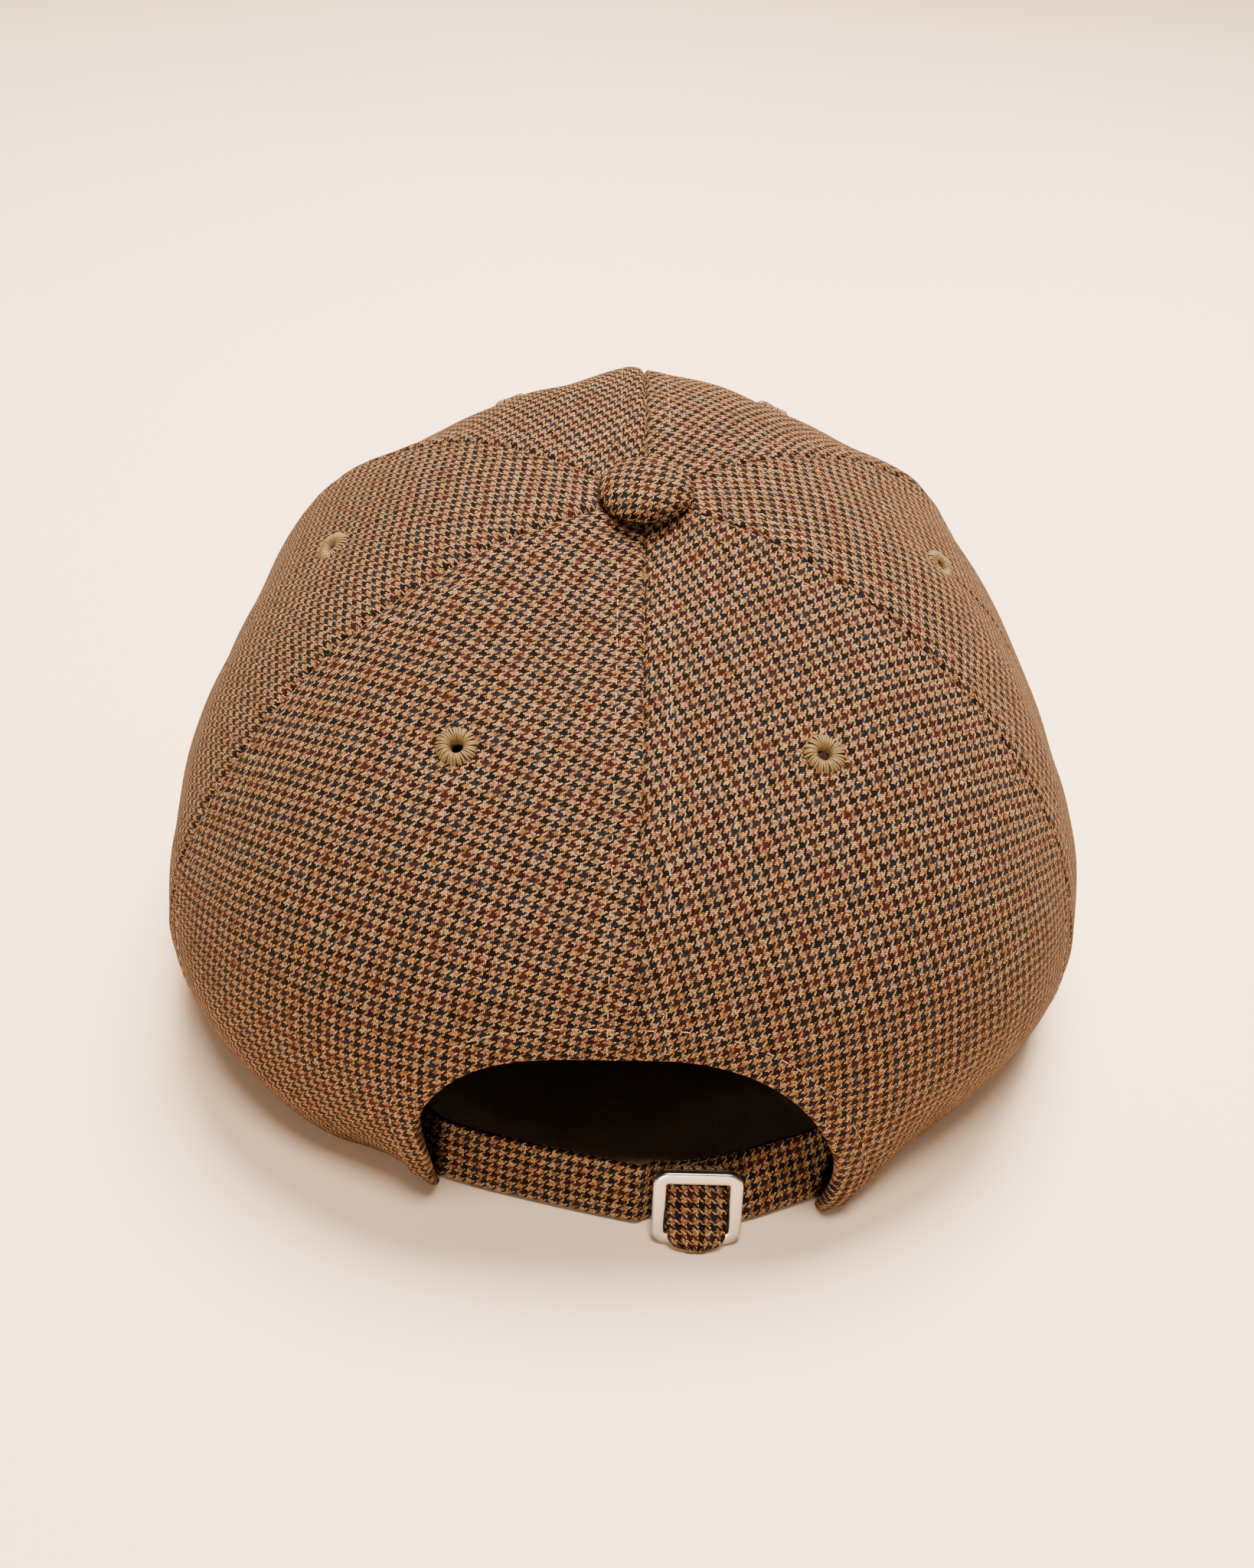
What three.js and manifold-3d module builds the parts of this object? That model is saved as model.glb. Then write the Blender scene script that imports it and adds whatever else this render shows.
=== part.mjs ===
// A six-panel cloth cap: domed crown, curved peak, top button, sewn eyelets and a buckled back strap.
// Millimetres, +Z up. The peak points to -Y and the back opening faces +Y, so +X is the wearer's left.
// A bearing goes round the crown from the front, 0, through the left side, 90, to the back, 180.
// A rise goes up the crown's outline from the rim, 0, to the button, 1.
import * as THREE from 'three';
import { mergeVertices } from 'three/addons/utils/BufferGeometryUtils.js';
import Module from 'manifold-3d';

// Crown
const rimHalfWidth = 93;
const rimFrontReach = 80;
const rimBackReach = 92.4;
const rimSquareness = 2.5;
const crownHeight = 103.3;
const crownLean = 3.4;
const leftFullness = 0.017;
const panelCount = 6;
const wall = 1.6;
const gap = 0.3;
const topHoleRadius = 3.2;

// Peak
const peakReach = 70;
const peakHalfWidth = 88;
const peakThickness = 3;
const peakAttachBearing = 62;
const peakArch = 12;
const peakDroop = 5;
const peakSquareness = 2.6;

// Back opening and the sweatband that stops beside it
const openingHalfWidth = 39;
const openingHeight = 46;
const openingLeftSquareness = 4.5;
const openingRightSquareness = 2.5;
const sweatbandHeight = 28;
const sweatbandThickness = 1.2;
const sweatbandEndRoom = 11;

// Button and eyelets
const buttonRadius = 9.6;
const buttonDome = 3.4;
const buttonEdge = 1;
const buttonStemLength = 3.5;
const buttonTilt = 17;
const eyeletRadius = 3.6;
const eyeletHoleRadius = 1.2;
const eyeletBarrelRadius = 1.9;
const eyeletProud = 0.8;
const eyeletRise = 0.626;

// Back strap, its buckle and the tab drawn through the buckle
const strapWidth = 13.2;
const strapThickness = 1.6;
const strapLean = 16;
const strapFootClearance = 0.1;
const strapBow = 10.8;
const strapEndLength = 8;
const strapTailStop = 0.83;
const buckleAcross = -12.6;
const buckleWidth = 16.9;
const buckleHeight = 15.8;
const buckleBar = 2.1;
const buckleThickness = 1.8;
const buckleCorner = 3;
const tabThickness = 1.4;
const tabTipDrop = 0.7;

// The crown's outline above the rim at the front, side and back, as two Bezier handles.
// Out is a share of the rim's radius on that bearing, and up a share of the crown's height.
const outlines = {
  front: { lowOut: 1.24, lowUp: 0.792, highOut: 0.792, highUp: 1.252 },
  side: { lowOut: 1.26, lowUp: 0.42, highOut: 0.66, highUp: 1.171 },
  back: { lowOut: 1.399, lowUp: 0.63, highOut: 0.586, highUp: 0.844 },
};

// Soft dents and swells in the cloth: where they lie, how far they spread and their depth as a share
// of the radius, less than nothing for a swell.
const dents = [
  { bearing: 63, rise: 0.5, spreadBearing: 10, spreadRise: 0.15, depth: -0.036 },
  { bearing: 303, rise: 0.57, spreadBearing: 9, spreadRise: 0.13, depth: -0.036 },
  { bearing: 43, rise: 0.61, spreadBearing: 11, spreadRise: 0.15, depth: 0.046 },
  { bearing: 322, rise: 0.64, spreadBearing: 10, spreadRise: 0.13, depth: 0.032 },
  { bearing: 0, rise: 0.67, spreadBearing: 15, spreadRise: 0.18, depth: -0.02 },
  { bearing: 222, rise: 0.05, spreadBearing: 15, spreadRise: 0.12, depth: 0.02 },
];

// The strap's outer face seen from above, from the buckle to each end of the opening.
// Across is a share of the opening's half width, and out a share of the strap's bow.
const strapPlan = [
  { across: 0.9, out: 0.12 },
  { across: 0.45, out: 0.6 },
  { across: 0.0, out: 0.94 },
  { across: -0.2, out: 1.0 },
  { across: -0.45, out: 0.95 },
  { across: -0.65, out: 0.68 },
  { across: -0.9, out: 0.2 },
];

// The tab from its end behind the buckle's top bar, through the window and over the bottom bar.
// Along is a share of the buckle's half height, and forward a share of the way to the bar's front.
const tabPath = [
  { along: 0.98, forward: 0, width: 1 },
  { along: 0.6, forward: 0.04, width: 1 },
  { along: 0.3, forward: 0.3, width: 1 },
  { along: -0.2, forward: 0.78, width: 1 },
  { along: -0.55, forward: 0.98, width: 1 },
  { along: -0.8, forward: 1, width: 0.9 },
  { along: -1, forward: 1, width: 0.62 },
];

const cloth = { color: 0x9a7652, roughness: 0.95, metalness: 0 };
const blackCloth = { color: 0x141214, roughness: 0.9, metalness: 0 };
const thread = { color: 0x8f7f55, roughness: 0.8, metalness: 0 };
const metal = { color: 0xcfc8c0, roughness: 0.3, metalness: 1 };

const wasm = await Module();
wasm.setup();

const lerp = THREE.MathUtils.lerp;
const radians = THREE.MathUtils.degToRad;
const panelSpan = 360 / panelCount;
const leanAngle = radians(strapLean);

// Share of each outline on a bearing: the front one fades by the side, and the back one behind it.
function outlineAt(bearing) {
  const along = Math.cos(radians(bearing));
  const frontShare = Math.max(along, 0) ** 2;
  const backShare = Math.max(-along, 0) ** 2;
  const sideShare = 1 - frontShare - backShare;
  const mixed = {};
  for (const key of Object.keys(outlines.side)) {
    mixed[key] = frontShare * outlines.front[key] + sideShare * outlines.side[key];
    mixed[key] += backShare * outlines.back[key];
  }
  return mixed;
}

function rimRadius(bearing) {
  const across = Math.abs(Math.sin(radians(bearing))) / rimHalfWidth;
  const along = Math.cos(radians(bearing));
  const reach = along > 0 ? rimFrontReach : rimBackReach;
  const power = rimSquareness;
  return (across ** power + (Math.abs(along) / reach) ** power) ** (-1 / power);
}

// The arch that the peak gives the rim, highest at the middle of the front.
function archAt(x) {
  return peakArch * Math.max(0, 1 - (x / peakHalfWidth) ** 2);
}

function dentAt(bearing, rise) {
  let depth = 0;
  for (const dent of dents) {
    const turn = THREE.MathUtils.euclideanModulo(bearing - dent.bearing + 180, 360) - 180;
    const away = (turn / dent.spreadBearing) ** 2 + ((rise - dent.rise) / dent.spreadRise) ** 2;
    depth += dent.depth * Math.exp(-away);
  }
  return depth;
}

// A point on the crown's outer face.
function crownPoint(bearing, rise) {
  const outline = outlineAt(bearing);
  const fall = 1 - rise;
  const low = 3 * fall * fall * rise;
  const high = 3 * fall * rise * rise;
  const sideways = Math.sin(radians(bearing));
  const share = fall ** 3 + low * outline.lowOut + high * outline.highOut;
  const fullness = 1 + leftFullness * sideways - dentAt(bearing, rise);
  const radius = rimRadius(bearing) * share * fullness;
  const height = crownHeight * (low * outline.lowUp + high * outline.highUp + rise ** 3);
  const x = radius * sideways;
  const y = -radius * Math.cos(radians(bearing));
  const lift = y < 0 ? archAt(x) * fall ** 3 : 0;
  return new THREE.Vector3(x, y + crownLean * rise ** 1.5, height + lift);
}

// The way out of the crown at a point, level near the rim so that the hem is cut flat.
function crownNormal(bearing, rise) {
  const step = 0.5;
  const climb = 0.004;
  const low = Math.max(rise - climb, 0);
  const high = Math.min(rise + climb, 1);
  const round = crownPoint(bearing + step, rise).sub(crownPoint(bearing - step, rise));
  const up = crownPoint(bearing, high).sub(crownPoint(bearing, low));
  const normal = round.cross(up).normalize();
  normal.z *= THREE.MathUtils.smoothstep(rise, 0, 0.12);
  return normal.normalize();
}

function skinPoint(bearing, rise, depth) {
  return crownPoint(bearing, rise).addScaledVector(crownNormal(bearing, rise), -depth);
}

// The rise at which the crown's outer face reaches a height, below the shoulder.
function riseAtHeight(bearing, height) {
  let low = 0;
  let high = 0.5;
  for (let pass = 0; pass < 24; pass += 1) {
    const middle = (low + high) / 2;
    if (crownPoint(bearing, middle).z < height) low = middle;
    else high = middle;
  }
  return low;
}

// The bearing of a point of the back rim that lies a distance across from the middle.
function backBearing(across) {
  let bearing = 180;
  for (let pass = 0; pass < 12; pass += 1) {
    const radius = rimRadius(bearing) * (1 + leftFullness * Math.sin(radians(bearing)));
    bearing = 180 - THREE.MathUtils.radToDeg(Math.asin(across / radius));
  }
  return bearing;
}

function signedVolume(geometry) {
  const place = geometry.attributes.position;
  const corner = [new THREE.Vector3(), new THREE.Vector3(), new THREE.Vector3()];
  let volume = 0;
  for (let first = 0; first < geometry.index.count; first += 3) {
    corner.forEach((point, turn) => point.fromBufferAttribute(place, geometry.index.getX(first + turn)));
    volume += corner[0].dot(corner[1].clone().cross(corner[2])) / 6;
  }
  return volume;
}

// Turns a closed skin's triangles so that they face out.
function facingOut(geometry) {
  if (signedVolume(geometry) > 0) return geometry;
  const index = geometry.index;
  for (let first = 0; first < index.count; first += 3) {
    const kept = index.getX(first);
    index.setX(first, index.getX(first + 1));
    index.setX(first + 1, kept);
  }
  return geometry;
}

// A closed sheet: two faces of columns by rows cells, joined all round. pointAt(u, v, face) gives
// its points, with u and v from 0 to 1 and face 0 or 1.
function sheet(columns, rows, pointAt) {
  const points = [];
  const triangles = [];
  const across = columns + 1;
  const faceSize = across * (rows + 1);
  for (let face = 0; face < 2; face += 1) {
    for (let row = 0; row <= rows; row += 1) {
      for (let column = 0; column <= columns; column += 1) {
        points.push(...pointAt(column / columns, row / rows, face).toArray());
      }
    }
  }
  const cell = (a, b, c, d) => triangles.push(a, b, c, a, c, d);
  const id = (column, row, face) => face * faceSize + row * across + column;
  for (let row = 0; row < rows; row += 1) {
    for (let column = 0; column < columns; column += 1) {
      const [c, r] = [column + 1, row + 1];
      cell(id(column, row, 0), id(c, row, 0), id(c, r, 0), id(column, r, 0));
      cell(id(column, row, 1), id(column, r, 1), id(c, r, 1), id(c, row, 1));
    }
  }
  for (let column = 0; column < columns; column += 1) {
    const c = column + 1;
    cell(id(column, 0, 0), id(column, 0, 1), id(c, 0, 1), id(c, 0, 0));
    cell(id(column, rows, 0), id(c, rows, 0), id(c, rows, 1), id(column, rows, 1));
  }
  for (let row = 0; row < rows; row += 1) {
    const r = row + 1;
    cell(id(0, row, 0), id(0, r, 0), id(0, r, 1), id(0, row, 1));
    cell(id(columns, row, 0), id(columns, row, 1), id(columns, r, 1), id(columns, r, 0));
  }
  const geometry = new THREE.BufferGeometry();
  geometry.setAttribute('position', new THREE.Float32BufferAttribute(points, 3));
  geometry.setIndex(triangles);
  return facingOut(geometry);
}

// Drops everything but the corners, so that a body's shared corners are one.
function welded(geometry) {
  const bare = geometry.clone();
  bare.deleteAttribute('normal');
  bare.deleteAttribute('uv');
  return mergeVertices(bare);
}

function toManifold(geometry) {
  const body = welded(geometry);
  const vertProperties = new Float32Array(body.attributes.position.array);
  const triVerts = new Uint32Array(body.index.array);
  return new wasm.Manifold(new wasm.Mesh({ numProp: 3, vertProperties, triVerts }));
}

function cut(geometry, cutters) {
  let body = toManifold(geometry);
  for (const cutter of cutters) body = body.subtract(toManifold(cutter));
  const result = body.getMesh();
  const geometryOut = new THREE.BufferGeometry();
  geometryOut.setAttribute('position', new THREE.BufferAttribute(result.vertProperties, 3));
  geometryOut.setIndex(new THREE.BufferAttribute(result.triVerts, 1));
  return geometryOut;
}

function piece(name, geometry, finish) {
  const mesh = new THREE.Mesh(geometry, new THREE.MeshStandardMaterial(finish));
  mesh.name = name;
  return mesh;
}

// Crown panels

function panelGeometry(fromBearing) {
  const toBearing = fromBearing + panelSpan;
  return sheet(10, 18, (u, v, face) => {
    const straight = lerp(fromBearing, toBearing, u);
    const topRise = 1 - topHoleRadius / (3 * outlineAt(straight).highOut * rimRadius(straight));
    const rise = topRise * v;
    const radius = Math.hypot(crownPoint(straight, rise).x, crownPoint(straight, rise).y);
    const seam = THREE.MathUtils.radToDeg(gap / 2 / radius);
    const bearing = lerp(fromBearing + seam, toBearing - seam, u);
    return skinPoint(bearing, rise, face * wall);
  });
}

// The half-moon cut at the back, squarer at its left corner than at its right.
function openingCutter() {
  const shape = new THREE.Shape();
  const below = -10;
  const steps = 28;
  shape.moveTo(openingHalfWidth, below);
  for (let step = 0; step <= steps; step += 1) {
    const turn = Math.PI * step / steps;
    const power = 2 / (turn < Math.PI / 2 ? openingLeftSquareness : openingRightSquareness);
    const across = Math.sign(Math.cos(turn)) * Math.abs(Math.cos(turn)) ** power;
    shape.lineTo(openingHalfWidth * across, openingHeight * Math.sin(turn) ** power);
  }
  shape.lineTo(-openingHalfWidth, below);
  const depth = rimBackReach;
  const cutter = new THREE.ExtrudeGeometry(shape, { depth, bevelEnabled: false, steps: 1 });
  cutter.rotateX(Math.PI / 2);
  cutter.translate(0, depth * 1.5, 0);
  return cutter;
}

function eyeletFrame(bearing) {
  const normal = crownNormal(bearing, eyeletRise);
  const turn = new THREE.Quaternion().setFromUnitVectors(new THREE.Vector3(0, 1, 0), normal);
  return { centre: crownPoint(bearing, eyeletRise), turn };
}

function eyeletCutter(bearing) {
  const frame = eyeletFrame(bearing);
  const cutter = new THREE.CylinderGeometry(eyeletBarrelRadius + gap, eyeletBarrelRadius + gap, wall * 5, 12);
  cutter.applyQuaternion(frame.turn);
  cutter.translate(...frame.centre.toArray());
  return cutter;
}

const panelNames = ['front_left', 'side_left', 'back_left', 'back_right', 'side_right', 'front_right'];

function crownPanels() {
  return panelNames.map((name, order) => {
    const fromBearing = order * panelSpan;
    const cutters = [eyeletCutter(fromBearing + panelSpan / 2)];
    if (name.startsWith('back')) cutters.push(openingCutter());
    return piece(`panel_${name}`, cut(panelGeometry(fromBearing), cutters), cloth);
  });
}

function eyelets() {
  const barrelEnd = -wall - gap;
  const flange = gap * 2;
  const top = flange + eyeletProud;
  const profile = [
    [eyeletHoleRadius, barrelEnd],
    [eyeletBarrelRadius, barrelEnd],
    [eyeletBarrelRadius, flange],
    [eyeletRadius, flange],
    [lerp(eyeletRadius, eyeletHoleRadius, 0.2), top],
    [lerp(eyeletRadius, eyeletHoleRadius, 0.8), top],
    [eyeletHoleRadius, flange],
    [eyeletHoleRadius, barrelEnd],
  ];
  return panelNames.map((name, order) => {
    const frame = eyeletFrame((order + 0.5) * panelSpan);
    const ring = new THREE.LatheGeometry(profile.map(([r, h]) => new THREE.Vector2(r, h)), 12);
    const eyelet = piece(`eyelet_${name}`, facingOut(welded(ring)), thread);
    eyelet.quaternion.copy(frame.turn);
    eyelet.position.copy(frame.centre);
    return eyelet;
  });
}

// How far the crown swells above its top point at a distance from it, along the button's axis.
function crownSwell(distance) {
  const axis = new THREE.Vector3(0, Math.sin(radians(buttonTilt)), Math.cos(radians(buttonTilt)));
  const top = crownPoint(0, 1);
  let swell = 0;
  for (let bearing = 0; bearing < 360; bearing += 5) {
    const rise = 1 - distance / (3 * outlineAt(bearing).highOut * rimRadius(bearing));
    swell = Math.max(swell, crownPoint(bearing, rise).sub(top).dot(axis));
  }
  return swell;
}

// A domed button whose underside follows the crown and whose stem goes through the top hole.
function button() {
  const stemRadius = topHoleRadius - 2 * gap;
  const profile = [new THREE.Vector2(0, -buttonStemLength), new THREE.Vector2(stemRadius, -buttonStemLength)];
  for (const radius of [stemRadius, lerp(stemRadius, buttonRadius, 0.5), buttonRadius]) {
    profile.push(new THREE.Vector2(radius, crownSwell(radius) + 2 * gap));
  }
  const edge = crownSwell(buttonRadius) + 2 * gap + buttonEdge;
  const steps = 6;
  for (let step = 0; step <= steps; step += 1) {
    const turn = (Math.PI / 2) * (step / steps);
    const radius = step === steps ? 0 : buttonRadius * Math.cos(turn);
    profile.push(new THREE.Vector2(radius, edge + buttonDome * Math.sin(turn)));
  }
  const dome = new THREE.LatheGeometry(profile, 24);
  const mesh = piece('button', facingOut(welded(dome)), cloth);
  mesh.rotation.x = Math.PI / 2 - radians(buttonTilt);
  mesh.position.copy(crownPoint(0, 1));
  return mesh;
}

// Peak and sweatband

function peak() {
  const ear = crownPoint(peakAttachBearing, 0);
  const earRadius = rimRadius(peakAttachBearing);
  const earY = -earRadius * Math.cos(radians(peakAttachBearing));
  const depth = rimFrontReach + peakReach + earY;
  const power = 2 / peakSquareness;
  const underside = (x, v) => Math.max(0, archAt(x) - peakDroop * v * v);
  return sheet(28, 7, (u, v, face) => {
    const bearing = lerp(-peakAttachBearing, peakAttachBearing, u);
    const rise = riseAtHeight(bearing, archAt(ear.x * Math.sin(radians(bearing))) + face * peakThickness);
    const root = skinPoint(bearing, rise, -gap * 1.5);
    const turn = lerp(-Math.PI / 2, Math.PI / 2, u);
    const rimX = Math.sign(turn) * peakHalfWidth * Math.abs(Math.sin(turn)) ** power;
    const rimY = earY - depth * Math.cos(turn) ** power;
    const x = lerp(root.x, rimX, v);
    const y = lerp(root.y, rimY, v);
    return new THREE.Vector3(x, y, underside(x, v) + face * peakThickness);
  });
}

function sweatband() {
  const ends = 180 - backBearing(openingHalfWidth + sweatbandEndRoom);
  return sheet(44, 3, (u, v, face) => {
    const bearing = lerp(ends - 180, 180 - ends, u);
    const hem = crownPoint(bearing, 0).z;
    const rise = v * riseAtHeight(bearing, hem + sweatbandHeight);
    return skinPoint(bearing, rise, wall + 2 * gap + face * sweatbandThickness);
  });
}

// Back strap and buckle

// A point in front of the strap: out of its face, along the lean of its width.
function strapOffset(out, along) {
  const y = out * Math.cos(leanAngle) - along * Math.sin(leanAngle);
  const z = out * Math.sin(leanAngle) + along * Math.cos(leanAngle);
  return { y, z };
}

const strapLayers = 2 * strapThickness + gap;
const strapCentreHeight = strapFootClearance + (strapWidth / 2) * Math.cos(leanAngle)
  + strapLayers * Math.sin(leanAngle);
const openingEdge = crownPoint(backBearing(openingHalfWidth), 0);
const footDrop = (strapWidth / 2) * Math.sin(leanAngle);

// The strap's outer face seen from above, with both ends tucked inside the crown's wall.
function strapCurve() {
  const tucked = (across) => {
    const inside = skinPoint(backBearing(across), 0, wall + 2 * gap);
    return new THREE.Vector3(inside.x, inside.y - footDrop, 0);
  };
  const points = [tucked(openingHalfWidth + strapEndLength), tucked(openingHalfWidth + 1)];
  for (const { across, out } of strapPlan) {
    points.push(new THREE.Vector3(across * openingHalfWidth, openingEdge.y + out * strapBow - footDrop, 0));
  }
  points.push(tucked(-openingHalfWidth - 1), tucked(-openingHalfWidth - strapEndLength));
  return new THREE.CatmullRomCurve3(points, false, 'centripetal');
}

const strapLine = strapCurve();

function strapLineAt(across) {
  let low = 0;
  let high = 1;
  for (let pass = 0; pass < 24; pass += 1) {
    const middle = (low + high) / 2;
    if (strapLine.getPoint(middle).x > across) low = middle;
    else high = middle;
  }
  return low;
}

// A stretch of strap between two places across, at a depth behind the outer face.
function strapStretch(fromAcross, toAcross, columns, depthAt) {
  const start = strapLineAt(fromAcross);
  const end = strapLineAt(toAcross);
  return sheet(columns, 2, (u, v, face) => {
    const place = strapLine.getPoint(lerp(start, end, u));
    const run = strapLine.getTangent(lerp(start, end, u));
    const depth = depthAt(place.x) + face * strapThickness;
    const shift = strapOffset(0, (v - 0.5) * strapWidth);
    const outward = new THREE.Vector3(-run.y, run.x, 0).normalize().multiplyScalar(run.x > 0 ? -1 : 1);
    const out = outward.multiplyScalar(depth * Math.cos(leanAngle));
    return new THREE.Vector3(
      place.x + out.x,
      place.y + out.y + shift.y,
      strapCentreHeight - depth * Math.sin(leanAngle) + shift.z,
    );
  });
}

function straps() {
  const underDepth = strapThickness + gap;
  const endAcross = openingHalfWidth + strapEndLength;
  const windowHalf = buckleWidth / 2 - buckleBar;
  const longDepth = (x) => {
    const passed = (buckleAcross + windowHalf + 2 * buckleBar - x) / buckleBar;
    return underDepth * THREE.MathUtils.clamp(passed, 0, 1);
  };
  const tail = -strapTailStop * openingHalfWidth;
  const long = strapStretch(endAcross, tail, 26, longDepth);
  const short = strapStretch(buckleAcross + windowHalf, -endAcross, 18, () => 0);
  return [piece('strap_long', long, cloth), piece('strap_short', short, cloth)];
}

const buckleBack = tabThickness + 2 * gap;
const buckleFront = buckleBack + buckleThickness;

function roundedOutline(path, halfWidth, halfHeight, corner) {
  const turns = [[1, -1, -90], [1, 1, 0], [-1, 1, 90], [-1, -1, 180]];
  for (const [side, level, start] of turns) {
    const x = side * (halfWidth - corner);
    const y = level * (halfHeight - corner);
    path.absarc(x, y, corner, radians(start), radians(start + 90), false);
  }
  return path;
}

function buckleGroup() {
  const outline = roundedOutline(new THREE.Shape(), buckleWidth / 2, buckleHeight / 2, buckleCorner);
  const windowCorner = buckleCorner - buckleBar * 0.8;
  const windowHalfWidth = buckleWidth / 2 - buckleBar;
  const windowHalfHeight = buckleHeight / 2 - buckleBar;
  outline.holes.push(roundedOutline(new THREE.Path(), windowHalfWidth, windowHalfHeight, windowCorner));
  const settings = { depth: buckleThickness, bevelEnabled: false, curveSegments: 4 };
  const frame = new THREE.ExtrudeGeometry(outline, settings);
  frame.translate(0, 0, buckleBack);

  const tabHalfWidth = windowHalfWidth - gap;
  const tab = sheet(4, tabPath.length - 1, (u, v, face) => {
    const row = tabPath[Math.round(v * (tabPath.length - 1))];
    const isTip = row === tabPath[tabPath.length - 1];
    const along = row.along * (buckleHeight / 2) - (isTip ? tabTipDrop : 0);
    const out = gap + row.forward * buckleFront + face * tabThickness;
    return new THREE.Vector3((u * 2 - 1) * tabHalfWidth * row.width, along, out);
  });

  const group = new THREE.Group();
  group.add(piece('buckle', frame, metal), piece('buckle_tab', tab, cloth));
  const place = strapLine.getPoint(strapLineAt(buckleAcross));
  group.position.set(buckleAcross, place.y, strapCentreHeight);
  const right = new THREE.Vector3(-1, 0, 0);
  const up = new THREE.Vector3(0, -Math.sin(leanAngle), Math.cos(leanAngle));
  group.quaternion.setFromRotationMatrix(new THREE.Matrix4().makeBasis(right, up, right.clone().cross(up)));
  return group;
}

// Whole cap, standing on z = 0 with its bounding box centred on the origin
const cap = new THREE.Group();
cap.add(...crownPanels(), ...eyelets(), button());
cap.add(piece('peak', peak(), cloth), piece('sweatband', sweatband(), blackCloth));
cap.add(...straps(), buckleGroup());

const box = new THREE.Box3().setFromObject(cap, true);
const centre = box.getCenter(new THREE.Vector3());
cap.position.set(-centre.x, -centre.y, -box.min.z);

export default cap;
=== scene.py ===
"""Looks of a six-panel cloth cap: sewn houndstooth panels, thread work, strap and buckle."""

import math

import bpy
import numpy as np
from mathutils import Matrix, Vector


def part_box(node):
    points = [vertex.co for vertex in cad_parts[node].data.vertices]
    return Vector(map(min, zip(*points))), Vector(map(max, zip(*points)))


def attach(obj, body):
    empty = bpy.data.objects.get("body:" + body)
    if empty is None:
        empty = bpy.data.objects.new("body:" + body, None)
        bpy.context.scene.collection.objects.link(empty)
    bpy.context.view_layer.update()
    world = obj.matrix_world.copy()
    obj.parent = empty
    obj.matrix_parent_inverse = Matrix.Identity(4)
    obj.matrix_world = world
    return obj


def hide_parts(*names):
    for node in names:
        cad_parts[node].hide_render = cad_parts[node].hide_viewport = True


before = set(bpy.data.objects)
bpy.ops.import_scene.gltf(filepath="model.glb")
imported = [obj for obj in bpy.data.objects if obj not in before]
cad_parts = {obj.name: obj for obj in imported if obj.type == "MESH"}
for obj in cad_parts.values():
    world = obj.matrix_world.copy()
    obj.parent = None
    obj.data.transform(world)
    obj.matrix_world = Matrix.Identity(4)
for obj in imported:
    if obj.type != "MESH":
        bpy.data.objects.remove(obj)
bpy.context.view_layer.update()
scene = bpy.context.scene

# Crown, in millimetres as in the CAD. A bearing goes round from the front, 0, through the
# wearer's left, 90, to the back, 180. A rise goes up the outline from the rim, 0, to the top, 1.
RIM_HALF_WIDTH = 93
RIM_FRONT_REACH = 80
RIM_BACK_REACH = 92.4
RIM_SQUARENESS = 2.5
CROWN_HEIGHT = 103.3
CROWN_LEAN = 3.4
LEFT_FULLNESS = 0.017
PANEL_SPAN = 60
WALL = 1.6
GAP = 0.3
TOP_HOLE_RADIUS = 3.2

# Peak, opening and sweatband
PEAK_REACH = 70
PEAK_HALF_WIDTH = 88
PEAK_THICKNESS = 3
PEAK_ATTACH_BEARING = 62
PEAK_ARCH = 12
PEAK_DROOP = 5
PEAK_SQUARENESS = 2.6
OPENING_HALF_WIDTH = 39
OPENING_HEIGHT = 46.6
SWEATBAND_HEIGHT = 28
SWEATBAND_THICKNESS = 1.2
SWEATBAND_END_ROOM = 11
SWEATBAND_ROW = 4

# Button, eyelets, strap and buckle
BUTTON_RADIUS = 9.6
BUTTON_DOME = 4.4
BUTTON_LIFT = 0.5
BUTTON_SKIRT = 2.2
BUTTON_TILT = 9
EYELET_HOLE_RADIUS = 1.2
EYELET_RISE = 0.626
LONG_STRAP_WIDTH = 12.4
SHORT_STRAP_WIDTH = 13.2
STRAP_THICKNESS = 1.6
STRAP_CENTRE_HEIGHT = 7.2
STRAP_TAIL_END = -24
BUCKLE_ACROSS = -12.9
BUCKLE_BACKWARD = 98.1
BUCKLE_CENTRE_HEIGHT = 7.4
BUCKLE_LEAN = math.radians(16)
BUCKLE_WIDTH = 16.9
BUCKLE_HEIGHT = 15.8
BUCKLE_BAR = 2.6
BUCKLE_THICKNESS = 1.8
BUCKLE_CORNER = 3
TAB_THICKNESS = 1.4
TAB_TIP_DROP = 0.7

OUTLINES = {
    "front": {"low_out": 1.24, "low_up": 0.792, "high_out": 0.792, "high_up": 1.252},
    "side": {"low_out": 1.26, "low_up": 0.42, "high_out": 0.66, "high_up": 1.171},
    "back": {"low_out": 1.399, "low_up": 0.63, "high_out": 0.586, "high_up": 0.844},
}

# Soft dents and swells: bearing, rise, spread of each, depth as a share of the radius
DENTS = [
    (63, 0.5, 10, 0.15, -0.036),
    (303, 0.57, 9, 0.13, -0.036),
    (43, 0.61, 11, 0.15, 0.046),
    (322, 0.64, 10, 0.13, 0.032),
    (0, 0.67, 15, 0.18, -0.02),
    (222, 0.05, 15, 0.12, 0.02),
]

# The strap's course from above: across, backward, and its lean in degrees
STRAP_COURSE = [
    (47, 78.8, 16), (40.5, 84.4, 16), (36.5, 87.6, 17), (30, 90.1, 16), (22, 92.3, 16), (6, 96.2, 16),
    (-4, 98.2, 16), (-11, 98, 20), (-21.5, 95.4, 31), (-28.6, 92.6, 32), (-36, 89.6, 29),
    (-40.5, 86.4, 24), (-47, 80.8, 20),
]

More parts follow.
